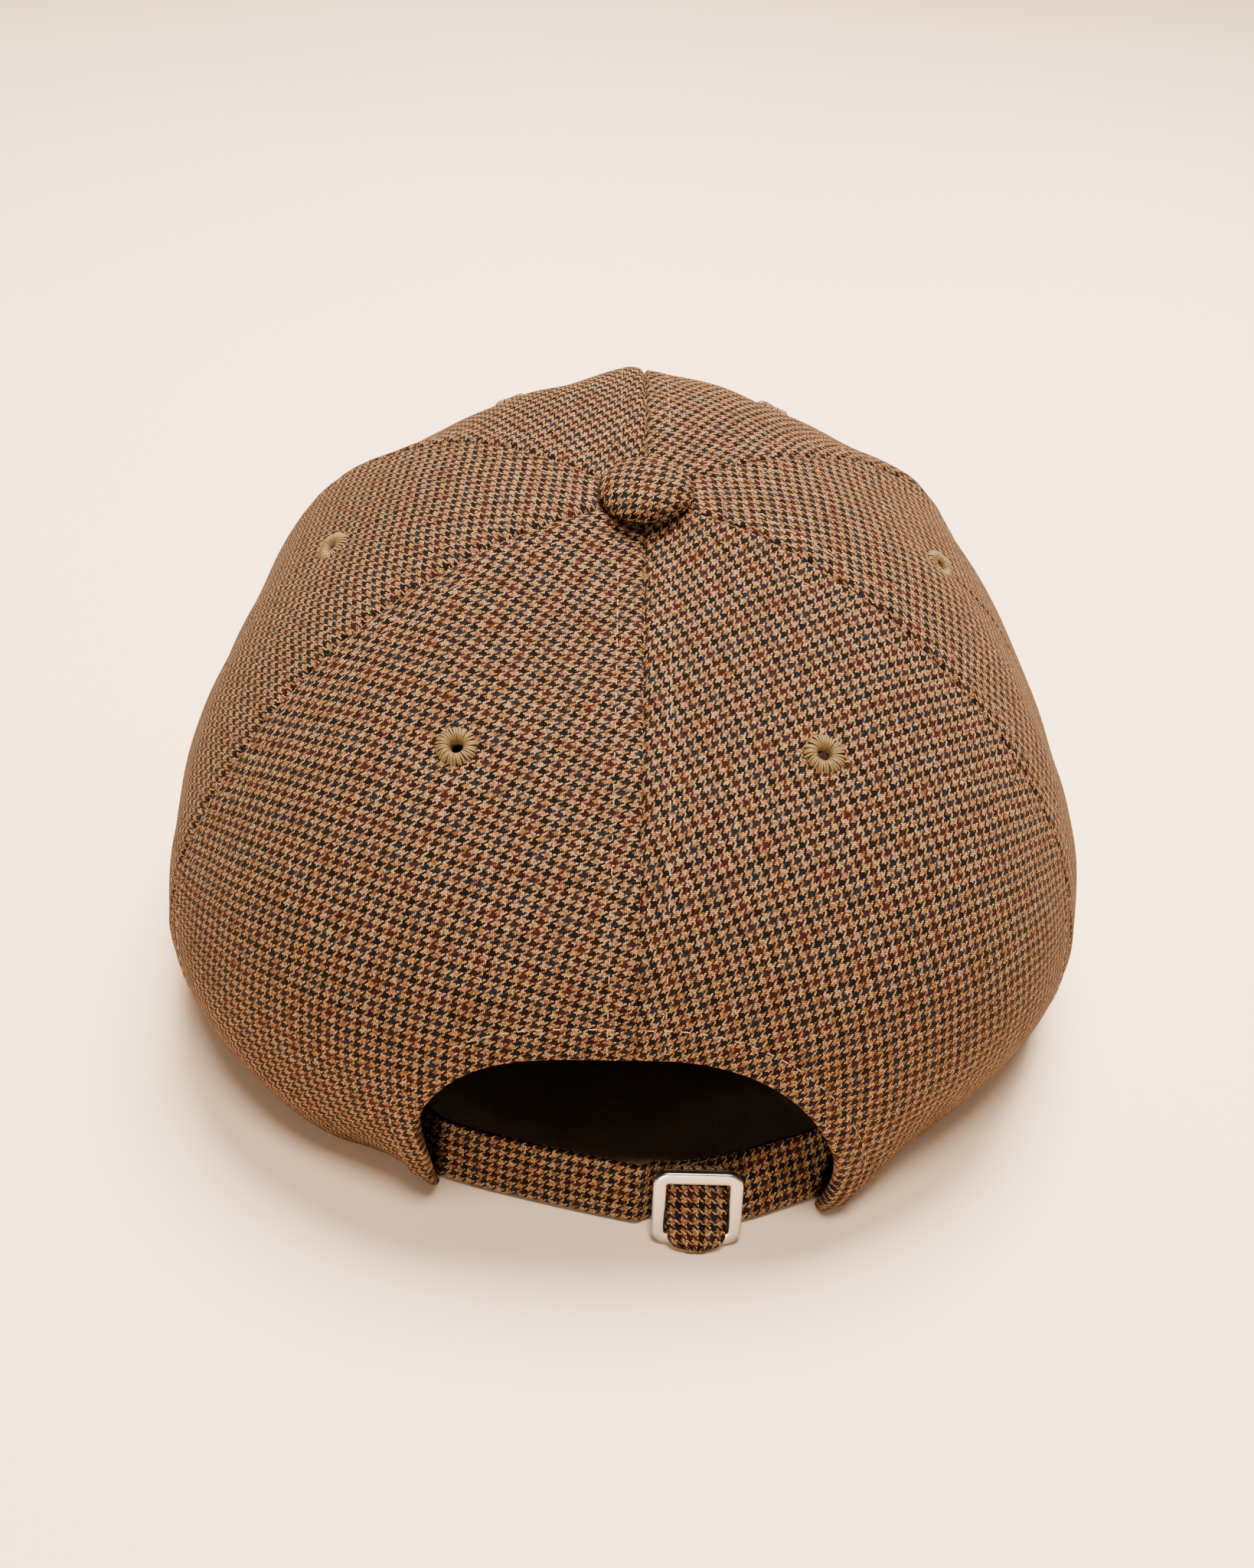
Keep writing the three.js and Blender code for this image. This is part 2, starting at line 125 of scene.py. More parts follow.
# The tab: along as a share of the buckle's half height, forward as a share of its front, width
TAB_PATH = [
    (0.98, 0, 1), (0.6, 0.04, 1), (0.3, 0.3, 1), (-0.2, 0.78, 1), (-0.6, 0.98, 1), (-0.8, 1, 0.9),
    (-0.94, 1, 0.7), (-1.02, 1, 0.45), (-1.06, 1, 0.2),
]

# Small forms of the soft cloth: bearing, rise, spread of each, and how far out in millimetres
FORMS = [
    (203, 0, 7.4, 0.13, 6.6),
    (158.5, 0, 3, 0.12, 1.8),
    (150, 0, 5, 0.12, -2.3),
    (264, 0.38, 9, 0.1, -1.5),
    (280, 0.42, 9, 0.1, -1.4),
    (296, 0.5, 7, 0.1, -1),
    (313, 0.64, 7, 0.08, -0.9),
    (332, 0.64, 8, 0.08, -1),
    (3, 0.67, 7, 0.08, 1.3),
    (20, 0.64, 7, 0.08, -1),
    (34, 0.61, 7, 0.08, -1.1),
    (52, 0.62, 6, 0.06, -1),
    (60, 0.56, 5, 0.06, 0.8),
    (72, 0.42, 7, 0.1, -1.7),
    (84, 0.36, 8, 0.1, -0.9),
    (106, 0.29, 8, 0.1, -1.2),
    (135, 0.04, 8, 0.1, -1),
]

# The opening's sides: reach and stop across, squareness, and how much the foot narrows below
# the high height, in full at the low one
OPENING_LEFT = {"reach": 41, "stop": 38.4, "squareness": 3.4, "narrowing": 2, "low": 5, "high": 32}
OPENING_RIGHT = {"reach": 39, "stop": 39, "squareness": 2.5, "narrowing": 4, "low": 2, "high": 22}

# Sewing
MIDDLE_SEAM_DEPTH = 0.8
SIDE_SEAM_DEPTH = 0.42
SEAM_WIDTH = 0.4
STITCH_OFFSET = 5
STITCH_PITCH = 3.1
STITCH_SHARE = 0.55
STITCH_RADIUS = 0.12
EDGE_STITCH_OFFSET = 5.6

# Weave: threads of one check, four light and four dark, across and along the cloth
CHECK_ACROSS = 2.05
CHECK_ALONG = 2.17
THREADS_PER_CHECK = 8


def box_mm(node):
    """Low and high corner of a CAD node's box."""
    low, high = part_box(node)
    return np.array(low) * 1000, np.array(high) * 1000


button_low, button_high = box_mm("button")
SHIFT = np.array([
    (button_low[0] + button_high[0]) / 2,
    box_mm("peak")[0][1] + RIM_FRONT_REACH + PEAK_REACH,
    0,
])


# Crown maths

def smoothstep(low, high, value):
    t = np.clip((value - low) / (high - low), 0, 1)
    return t * t * (3 - 2 * t)


def length(vectors):
    return np.linalg.norm(vectors, axis=-1)


def unit(vectors):
    return vectors / length(vectors)[..., None]


def run_along(path):
    """Distance along a line at each of its points."""
    return np.concatenate([[0], np.cumsum(length(np.diff(path, axis=0)))])


def read_along(stops, run, values):
    """Rows of values read off at stops along a line."""
    return np.stack([np.interp(stops, run, column) for column in values.T], -1)


def resampled(points, count):
    """Points spread evenly along a line."""
    run = run_along(points)
    return read_along(np.linspace(0, run[-1], count), run, points)


def full_wave(wave, power):
    """A sine or cosine that stays longer near its ends, for sections with full edges."""
    return np.sign(wave) * np.abs(wave) ** power


def circle(count):
    return np.linspace(0, 2 * math.pi, count, endpoint=False)


def on_ring(side, up, radius, angle):
    """Offsets at an angle and a distance from a centre."""
    return side * (radius * np.cos(angle))[..., None] + up * (radius * np.sin(angle))[..., None]


def outline_value(bearing, key):
    """A value of the crown's outline, blended between front, side and back."""
    along = np.cos(np.radians(bearing))
    front = np.maximum(along, 0) ** 2
    back = np.maximum(-along, 0) ** 2
    side = 1 - front - back
    value = front * OUTLINES["front"][key] + side * OUTLINES["side"][key]
    return value + back * OUTLINES["back"][key]


def rim_radius(bearing):
    across = np.abs(np.sin(np.radians(bearing))) / RIM_HALF_WIDTH
    along = np.cos(np.radians(bearing))
    reach = np.where(along > 0, RIM_FRONT_REACH, RIM_BACK_REACH)
    power = RIM_SQUARENESS
    return (across ** power + (np.abs(along) / reach) ** power) ** (-1 / power)


def arch_at(x):
    return PEAK_ARCH * np.maximum(0, 1 - (x / PEAK_HALF_WIDTH) ** 2)


def soft_bumps(table, bearing, rise):
    """The sum of a table's bumps at points of the crown."""
    total = 0
    for centre, height, spread_bearing, spread_rise, amount in table:
        turn = (bearing - centre + 180) % 360 - 180
        away = (turn / spread_bearing) ** 2 + ((rise - height) / spread_rise) ** 2
        total = total + amount * np.exp(-away)
    return total


def crown_point(bearing, rise):
    """Points of the crown's plain outer face."""
    bearing, rise = np.broadcast_arrays(np.asarray(bearing, float), np.asarray(rise, float))
    fall = 1 - rise
    low = 3 * fall * fall * rise
    high = 3 * fall * rise * rise
    sideways = np.sin(np.radians(bearing))
    share = fall ** 3 + low * outline_value(bearing, "low_out")
    share = share + high * outline_value(bearing, "high_out")
    fullness = 1 + LEFT_FULLNESS * sideways - soft_bumps(DENTS, bearing, rise)
    radius = rim_radius(bearing) * share * fullness
    height = low * outline_value(bearing, "low_up") + high * outline_value(bearing, "high_up")
    x = radius * sideways
    y = -radius * np.cos(np.radians(bearing))
    lift = np.where(y < 0, arch_at(x) * fall ** 3, 0)
    z = CROWN_HEIGHT * (height + rise ** 3) + lift
    return np.stack([x, y + CROWN_LEAN * np.maximum(rise, 0) ** 1.5, z], -1)


def crown_normal(bearing, rise):
    """The way out of the crown, level near the rim so that the hem is cut flat."""
    low = np.maximum(rise - 0.004, 0)
    high = np.minimum(rise + 0.004, 1)
    turn = crown_point(bearing + 0.5, rise) - crown_point(bearing - 0.5, rise)
    climb = crown_point(bearing, high) - crown_point(bearing, low)
    normal = unit(np.cross(turn, climb))
    normal[..., 2] *= smoothstep(0, 0.12, rise)
    return unit(normal)


def back_bearing(across):
    bearing = 180.0
    for _ in range(12):
        radius = rim_radius(bearing) * (1 + LEFT_FULLNESS * math.sin(math.radians(bearing)))
        bearing = 180 - math.degrees(math.asin(across / radius))
    return bearing


def locate_back(x, z):
    """Bearing and rise of points of the crown's back, from their x and their height."""
    bearing = 180 - np.degrees(np.arcsin(x / RIM_BACK_REACH))
    rise = z / (3 * OUTLINES["back"]["low_up"] * CROWN_HEIGHT)
    for _ in range(14):
        here = crown_point(bearing, rise)
        turn = (crown_point(bearing + 0.01, rise) - here) / 0.01
        climb = (crown_point(bearing, rise + 1e-4) - here) / 1e-4
        miss_x = x - here[..., 0]
        miss_z = z - here[..., 2]
        area = turn[..., 0] * climb[..., 2] - climb[..., 0] * turn[..., 2]
        bearing = bearing + (miss_x * climb[..., 2] - climb[..., 0] * miss_z) / area
        rise = rise + (turn[..., 0] * miss_z - turn[..., 2] * miss_x) / area
    return bearing, rise


def rise_at_climb(bearing, climb):
    """The rise at a distance along the cloth above the rim."""
    steps = np.linspace(0, 1, 400)
    found = []
    for one in np.atleast_1d(bearing):
        path = crown_point(one, steps)
        run = run_along(path)
        found.append(np.interp(climb, run, steps))
    return np.array(found)


def top_rise(bearing):
    return 1 - TOP_HOLE_RADIUS / (3 * outline_value(bearing, "high_out") * rim_radius(bearing))


EDGE_POINTS = 240


def opening_edge(side):
    """The opening's edge from its foot to the back seam, as bearing, rise and points."""
    shape = OPENING_LEFT if side > 0 else OPENING_RIGHT
    turn = np.linspace(0, math.pi / 2, 3000)
    power = 2 / shape["squareness"]
    x = side * np.minimum(shape["reach"] * np.cos(turn) ** power, shape["stop"])
    z = OPENING_HEIGHT * np.sin(turn) ** power
    x -= side * shape["narrowing"] * (1 - smoothstep(shape["low"], shape["high"], z))
    x[-1] = 0
    x, z = resampled(np.stack([x, z], -1), EDGE_POINTS).T
    bearing, rise = locate_back(x, z)
    return bearing, rise, crown_point(bearing, rise)


EDGE_LEFT = opening_edge(1)
EDGE_RIGHT = opening_edge(-1)


def smooth_noise(points, size, seed):
    """Soft bumps between about -1 and 1 whose width follows size, in millimetres."""
    random = np.random.default_rng(seed)
    total = 0
    for _ in range(7):
        way = unit(random.normal(size=3)) * (2 * math.pi / (size * random.uniform(0.7, 1.6)))
        total = total + np.sin(points @ way + random.uniform(0, 6.28))
    return total / 3


# Panels

class Panel:
    """One of the crown's six panels: its bearings and the grids of its two faces."""

    def __init__(self, order, name):
        self.order = order
        self.name = name
        self.first = order * PANEL_SPAN
        self.last = self.first + PANEL_SPAN
        self.middle = (self.first + self.last) / 2
        self.side = {"back_left": 1, "back_right": -1}.get(name, 0)
        self.opening = {1: EDGE_LEFT, -1: EDGE_RIGHT}.get(self.side)

    def edge_row(self, distance, columns):
        """Bearing and rise of points at a distance from the hem and the opening's edge."""
        if not self.side:
            bearing = self.first + PANEL_SPAN * column_stops(columns)
            return bearing, rise_at_climb(bearing, distance)
        edge_bearing, edge_rise, edge_points = self.opening
        along = np.gradient(edge_points, axis=0)
        out = np.cross(unit(along), crown_normal(edge_bearing, edge_rise)) * -self.side
        out[-1, 0] = 0
        moved = edge_points + distance * unit(out)
        x = moved[:, 0]
        x[-1] = 0
        bearing, rise = locate_back(x, np.maximum(moved[:, 2], 0))
        path = crown_point(bearing, rise)
        climb = length(path - crown_point(bearing, 0 * rise))
        start = np.interp(distance, climb[:len(climb) // 2], np.arange(len(climb) // 2))
        whole = np.arange(len(climb))
        keep = np.concatenate([[start], whole[whole > start + 0.5]])
        line = read_along(keep, whole, np.stack([bearing, rise], -1))
        half = columns // 2
        path = crown_point(line[:, 0], line[:, 1])
        run = run_along(path)
        stops = run[-1] * far_stops(columns - half)
        over = read_along(stops, run, line)
        seam = self.first if self.side > 0 else self.last
        low = seam + (over[0, 0] - seam) * near_stops(half + 1)[:-1]
        foot = np.stack([low, rise_at_climb(low, distance)], -1)
        row = np.concatenate([foot, over])
        if self.side < 0:
            row = row[::-1]
        return row[:, 0], row[:, 1]


FIRST_STEP = 0.2
STEP_GROWTH = 1.28


def near_stops(count):
    """Stops from 0 to 1 whose steps grow from a small first one."""
    steps = np.minimum(FIRST_STEP * STEP_GROWTH ** np.arange(count - 1), 1)
    stops = np.concatenate([[0], np.cumsum(steps)])
    return stops / stops[-1]


def far_stops(count):
    return 1 - near_stops(count)[::-1]


def column_stops(count):
    """Stops from 0 to 1 that are close at both ends, where the seams are."""
    half = near_stops(count // 2 + 1) / 2
    rest = 1 - near_stops(count - count // 2)[::-1] / 2
    return np.concatenate([half[:-1], rest])


# Mesh helpers

def grid_faces(rows, columns, closed=False):
    ids = np.arange(rows * columns).reshape(rows, columns)
    if closed:
        ids = np.concatenate([ids, ids[:, :1]], 1)
    corners = [ids[:-1, :-1], ids[:-1, 1:], ids[1:, 1:], ids[1:, :-1]]
    return np.stack(corners, -1).reshape(-1, 4)


def placed(name, data):
    """A new object in the scene."""
    made = bpy.data.objects.new(name, data)
    scene.collection.objects.link(made)
    return made


def add_piece(name, points, faces, materials, replaces=(), uv=None, face_material=None):
    """A piece of the cap, from points and cloth coordinates in millimetres, in rows or one list."""
    mesh = bpy.data.meshes.new(name)
    places = (np.reshape(points, (-1, 3)) + SHIFT) * 0.001
    mesh.from_pydata(places.tolist(), [], faces.tolist())
    mesh.polygons.foreach_set("use_smooth", np.ones(len(faces), bool))
    for material in materials:
        mesh.materials.append(material)
    if face_material is not None:
        mesh.polygons.foreach_set("material_index", np.asarray(face_material, np.int32))
    if uv is not None:
        layer = mesh.uv_layers.new(name="cloth")
        corner = np.empty(len(mesh.loops), np.int32)
        mesh.loops.foreach_get("vertex_index", corner)
        layer.data.foreach_set("uv", np.reshape(uv, (-1, 2))[corner].astype(np.float32).ravel())
    piece = placed(name, mesh)
    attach(piece, "root")
    for node in replaces:
        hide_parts(node)


def turned(uv, degrees, centre=(0, 0)):
    """Cloth coordinates turned about a point, for cloth cut on another grain."""
    angle = math.radians(degrees)
    across, along = uv[..., 0] - centre[0], uv[..., 1] - centre[1]
    return np.stack([
        across * math.cos(angle) - along * math.sin(angle),
        across * math.sin(angle) + along * math.cos(angle),
    ], -1)


def nearest_distance(points, line):
    flat = points.reshape(-1, points.shape[-1])
    found = [length(part[:, None] - line[None]).min(1) for part in np.array_split(flat, 12)]
    return np.concatenate(found).reshape(points.shape[:-1])


# Materials

class Shader:
    """The nodes of a material or of the world, with short names for the ones used most."""

    def __init__(self, name, kind=bpy.data.materials):
        self.owner = kind.new(name)
        self.owner.use_nodes = True
        self.tree = self.owner.node_tree

    def set(self, node, socket, value):
        if isinstance(value, bpy.types.NodeSocket):
            self.tree.links.new(value, node.inputs[socket])
        else:
            node.inputs[socket].default_value = value

    def node(self, kind, output=0, settings=(), **inputs):
        """An output of a new node. The inputs go by name, or as i0, i1 and so on by number."""
        made = self.tree.nodes.new("ShaderNode" + kind)
        for key, value in dict(settings).items():
            setattr(made, key, value)
        for socket, value in inputs.items():
            numbered = socket[0] == "i" and socket[1:].isdigit()
            self.set(made, int(socket[1:]) if numbered else socket, value)
        return made.outputs[output]

    def calc(self, operation, first, second=0.0, third=0.0):
        return self.node("Math", settings={"operation": operation}, i0=first, i1=second, i2=third)

    def vector(self, operation, **inputs):
        return self.node("VectorMath", settings={"operation": operation}, **inputs)

    def mix(self, share, first, second, blend="MIX"):
        kind = {"data_type": "RGBA", "blend_type": blend}
        return self.node("Mix", 2, kind, i0=share, i6=first, i7=second)

    def tinted(self, colour, strength):
        """A colour times a grey value."""
        grey = self.node("CombineColor", i0=strength, i1=strength, i2=strength)
        return self.mix(1.0, colour, grey, "MULTIPLY")

    def ramp(self, share, stops, interpolation="LINEAR"):
        made = self.tree.nodes.new("ShaderNodeValToRGB")
        made.color_ramp.interpolation = interpolation
        elements = made.color_ramp.elements
        while len(elements) < len(stops):
            elements.new(1)
        for element, (place, colour) in zip(elements, stops):
            element.position = place
            element.color = (*colour, 1)
        self.set(made, 0, share)
        return made.outputs[0]

    def noise(self, vector, scale, detail=2.0, output=0):
        return self.node("TexNoise", output, Vector=vector, Scale=scale, Detail=detail)

    def bump(self, height, distance, strength):
        return self.node("Bump", Height=height, Distance=distance, Strength=strength)

    def humps(self, value):
        """A row of humps, one for each whole step of the value."""
        return self.calc("SINE", self.calc("MULTIPLY", self.calc("FRACT", value), math.pi))

    def finish(self, **values):
        """The material, once its surface has these values."""
        for socket, value in values.items():
            self.set(self.tree.nodes["Principled BSDF"], socket.replace("_", " "), value)
        return self.owner


def linear(red, green, blue):
    """Colour from the 0 to 255 numbers of a picture."""
    return tuple(((value / 255 + 0.055) / 1.055) ** 2.4 for value in (red, green, blue))


def dimmed(strength, *colour):
    return tuple(strength * value for value in linear(*colour))


CLOTH_STRENGTH = 0.22
TAN = dimmed(CLOTH_STRENGTH, 236, 158, 98)
PALE_TAN = dimmed(CLOTH_STRENGTH, 255, 206, 148)
BLACK = dimmed(CLOTH_STRENGTH, 22, 14, 12)
MAROON = dimmed(CLOTH_STRENGTH, 92, 40, 28)
NAVY = dimmed(CLOTH_STRENGTH, 50, 50, 56)


def wool():
    shader = Shader("wool_houndstooth")
    calc = shader.calc
    uv = shader.node("UVMap", settings={"uv_map": "cloth"})
    wander = shader.noise(shader.vector("SCALE", i0=uv, Scale=0.09), 1.0, 2.0, 1)
    wander = shader.vector("MULTIPLY_ADD", i0=wander, i1=(1.1, 1.1, 0), i2=(-0.55, -0.55, 0))
    place = shader.vector("ADD", i0=uv, i1=wander)
    split = shader.node("SeparateXYZ", i0=place).node
    warp = calc("DIVIDE", split.outputs[0], CHECK_ACROSS / THREADS_PER_CHECK)
    weft = calc("DIVIDE", split.outputs[1], CHECK_ALONG / THREADS_PER_CHECK)
    warp_id = calc("FLOOR", warp)
    weft_id = calc("FLOOR", weft)

    def thread_colour(thread, float_number):
        in_check = calc("FLOORED_MODULO", thread, THREADS_PER_CHECK)
        dark = calc("GREATER_THAN", in_check, THREADS_PER_CHECK / 2 - 0.5)
        check = calc("FLOOR", calc("DIVIDE", thread, THREADS_PER_CHECK))
        turn = calc("DIVIDE", calc("FLOORED_MODULO", check, 4.0), 4.0)
        stops = [(0, BLACK), (0.2, MAROON), (0.45, BLACK), (0.7, NAVY)]
        cell = shader.node("CombineXYZ", i0=thread, i1=float_number)
        own = shader.node("TexWhiteNoise", settings={"noise_dimensions": "2D"}, Vector=cell)
        light = shader.mix(calc("POWER", own, 2.0), (*TAN, 1), (*PALE_TAN, 1))
        colour = shader.mix(dark, light, shader.ramp(turn, stops, "CONSTANT"))
        return shader.tinted(colour, calc("MULTIPLY_ADD", own, 1.1, 0.5))

    def float_number(across_id, along_id, start):
        step = calc("ADD", calc("SUBTRACT", along_id, across_id), start)
        return calc("FLOOR", calc("DIVIDE", step, 4.0))

    order = calc("FLOORED_MODULO", calc("SUBTRACT", warp_id, weft_id), 4.0)
    warp_up = calc("LESS_THAN", order, 1.5)
    warp_colour = thread_colour(warp_id, float_number(warp_id, weft_id, 1.0))
    weft_colour = thread_colour(weft_id, float_number(weft_id, warp_id, -2.0))
    colour = shader.mix(warp_up, weft_colour, warp_colour)

    def float_height(across, along, other, start):
        """Height of a thread that floats over two others: round across, dipping at its ends."""
        profile = shader.humps(across)
        run = calc("FLOORED_MODULO", calc("SUBTRACT", calc("ADD", along, start), other), 4.0)
        dip = calc("SINE", calc("MULTIPLY", calc("MINIMUM", run, 2.0), math.pi / 2))
        dip = calc("POWER", calc("MAXIMUM", dip, 0.0), 0.5)
        return calc("MULTIPLY", calc("POWER", profile, 0.6), dip)

    warp_height = float_height(warp, weft, warp_id, 1.0)
    weft_height = float_height(weft, warp, weft_id, -2.0)
    height = calc("MULTIPLY", warp_up, warp_height)
    height = calc("ADD", height, calc("MULTIPLY", calc("SUBTRACT", 1.0, warp_up), weft_height))

    fibre = shader.noise(place, 4.2, 3.0)
    patch = shader.noise(uv, 0.06, 2.0)
    # The colour darkens with the threads' height, down into the gaps between them: painted shade. The fibre
    # and patch noises on it are the yarn's own tone.
    shade = calc("MULTIPLY_ADD", height, 1.15, 0.1)
    shade = calc("MULTIPLY", shade, calc("MULTIPLY_ADD", fibre, 1.1, 0.45))
    shade = calc("MULTIPLY", shade, calc("MULTIPLY_ADD", patch, 0.16, 0.92))
    surface_height = calc("ADD", height, calc("MULTIPLY", fibre, 0.5))
    normal = shader.bump(surface_height, 0.00009, 0.9)
    return shader.finish(
        Base_Color=shader.tinted(colour, shade), Normal=normal, Roughness=0.86,
        Specular_IOR_Level=0.08, Sheen_Weight=0.02, Sheen_Roughness=0.45,
        Sheen_Tint=(0.8, 0.66, 0.4, 1),
    )


def black_twill():
    shader = Shader("black_twill")
    calc = shader.calc
    uv = shader.node("UVMap", settings={"uv_map": "cloth"})
    split = shader.node("SeparateXYZ", i0=uv).node
    across, along = split.outputs[0], split.outputs[1]
    rib = shader.humps(calc("DIVIDE", calc("ADD", across, along), 0.62))
    pick = shader.humps(calc("DIVIDE", along, 0.31))
    fibre = shader.noise(uv, 5.0, 3.0)
    weave = calc("MULTIPLY", rib, calc("MULTIPLY_ADD", pick, 0.4, 0.6))
    height = calc("ADD", weave, calc("MULTIPLY", fibre, 0.4))
    # The colour darkens from the rib tops down into the grooves between them: painted shade.
    stops = [(0.1, (0.0018, 0.0019, 0.0024)), (1, (0.007, 0.0074, 0.0094))]
    colour = shader.ramp(calc("MULTIPLY", height, 0.7), stops)
    return shader.finish(
        Base_Color=colour, Normal=shader.bump(height, 0.0001, 0.8), Roughness=0.9,
        Specular_IOR_Level=0.12, Sheen_Weight=0.03, Sheen_Roughness=0.5,
    )


def thread(name, base):
    """Sewing or embroidery thread, with a fine fibre grain and soft patches."""
    shader = Shader(name)
    calc = shader.calc
    place = shader.node("TexCoord", 3)
    place = shader.vector("SCALE", i0=place, Scale=1000.0)
    fibre = shader.noise(place, 6.0, 3.0)
    patch = shader.noise(place, 0.6, 1.0)
    shade = calc("MULTIPLY_ADD", fibre, 0.5, 0.75)
    shade = calc("MULTIPLY", shade, calc("MULTIPLY_ADD", patch, 0.3, 0.85))
    return shader.finish(
        Base_Color=shader.tinted((*base, 1), shade), Normal=shader.bump(fibre, 0.00008, 0.8),
        Roughness=0.5, Specular_IOR_Level=0.35, Sheen_Weight=0.05, Sheen_Roughness=0.4,
    )


def satin_metal():
    shader = Shader("satin_metal")
    calc = shader.calc
    place = shader.node("TexCoord", 3)
    long = shader.vector("MULTIPLY", i0=place, i1=(300, 300, 5000))
    grain = shader.noise(long, 1.0, 3.0)
    wear = shader.noise(shader.vector("SCALE", i0=place, Scale=700.0), 1.0, 3.0)
    shade = calc("MULTIPLY_ADD", wear, 0.12, 0.92)
    return shader.finish(
        Base_Color=shader.tinted((0.42, 0.38, 0.335, 1), shade), Metallic=1.0,
        Roughness=calc("MULTIPLY_ADD", wear, 0.14, 0.24), Normal=shader.bump(grain, 0.00002, 0.3),
    )


def floor_finish():
    shader = Shader("pale_floor")
    place = shader.node("TexCoord", 3)
    soft = shader.noise(place, 2.2, 2.0)
    fine = shader.noise(place, 60.0, 3.0)
    colour = shader.ramp(soft, [(0.3, linear(250, 219, 187)), (0.7, linear(255, 226, 195))])
    return shader.finish(
        Base_Color=colour, Roughness=0.75, Specular_IOR_Level=0.2,
        Normal=shader.bump(fine, 0.0002, 0.15),
    )


WOOL = wool()
LINING = black_twill()
EYELET_THREAD = thread("eyelet_thread", dimmed(0.2, 214, 168, 92))
SEWING_THREAD = thread("sewing_thread", dimmed(0.36, 232, 186, 140))
# The eyelets' padding is coloured far darker than their thread: painted shade between the stitches and down
# the hole.
EYELET_PADDING_PAINTED_SHADE = thread("eyelet_padding_painted_shade", dimmed(0.05, 190, 140, 74))
LINING_THREAD = thread("lining_thread", linear(30, 26, 26))
METAL = satin_metal()


# Crown panels

TURN = WALL / 2
EDGE_BAND = 9
PANEL_NAMES = ["front_left", "side_left", "back_left", "back_right", "side_right", "front_right"]

# How far the cloth's grain is turned on each panel, in degrees
GRAIN = {
    "front_left": -2, "side_left": 2, "back_left": -4.5,
    "back_right": 1, "side_right": -2, "front_right": 2,
}
PANEL_COLUMNS = 112
OUTER_ROWS = 132
INNER_ROWS = 50


def panel_rows(panel, columns):
    """A panel's rows, down its inside, round its edge and up its outside.

    Each has its bearing, its rise, its depth and how far the sewing's relief shows on it.
    """
    rows = []
    top_bearing = panel.first + PANEL_SPAN * column_stops(columns)
    top = np.stack([top_bearing, top_rise(top_bearing)], -1)
    shoulder = np.stack(panel.edge_row(EDGE_BAND, columns), -1)

    def upper(count):
        middle = columns // 2
        share = np.linspace(0, 1, 200)[:, None]
        path = crown_point(*(shoulder[middle] * (1 - share) + top[middle] * share).T)
        run = run_along(path)
        return np.interp(np.linspace(0, run[-1], count + 1)[1:], run, share[:, 0])

    for share in upper(INNER_ROWS)[::-1]:
        rows.append((*(shoulder * (1 - share) + top * share).T, WALL, 0))
    for distance in (EDGE_BAND, 6, 3.5, 1.8):
        rows.append((*panel.edge_row(distance, columns), WALL, 0))
    for angle in np.radians([-90, -60, -30, 0, 30, 60, 90]):
        distance = TURN * (1 - math.cos(angle))
        depth = TURN * (1 - math.sin(angle))
        rows.append((*panel.edge_row(distance, columns), depth, max(0, math.sin(angle))))
    for distance in np.arange(1.25, EDGE_BAND, 0.45):
        rows.append((*panel.edge_row(distance, columns), 0, 1))
    rows.append((*shoulder.T, 0, 1))
    for share in upper(OUTER_ROWS):
        rows.append((*(shoulder * (1 - share) + top * share).T, 0, 1))
    bearing, rise, depth, outside = (np.array(part) for part in zip(*rows))
    return bearing, rise, depth[:, None], outside[:, None]


def cloth_coordinates(panel, points):
    """Across and along the panel's cloth, in millimetres, square to its centre line."""
    centre = crown_point(panel.middle, np.linspace(0, 0.99, 260))
    run = run_along(centre)
    way = unit(np.gradient(centre, axis=0))
    flat = points.reshape(-1, 3)
    miss = flat @ way.T - (centre * way).sum(1)
    index = np.clip((miss > 0).sum(1), 1, len(run) - 1)
    each = np.arange(len(flat))
    before, after = miss[each, index - 1], miss[each, index]
    share = np.clip(before / (before - after + 1e-9), -3, 3)
    along = run[index - 1] + share * (run[index] - run[index - 1])
    foot = centre[index - 1] + share[:, None] * (centre[index] - centre[index - 1])
    chord = length(flat - foot)
    angle = math.radians(panel.middle)
    sideways = np.array([math.cos(angle), math.sin(angle), 0])
    sign = np.sign((flat - foot) @ sideways)
    reach = 90
    across = sign * 2 * reach * np.arcsin(np.minimum(chord / (2 * reach), 1))
    uv = np.stack([across, along], -1).reshape(*points.shape[:-1], 2)
    return turned(uv, GRAIN[panel.name], (0, 60)) + np.array([panel.order * 7.3, panel.order * 3.1])


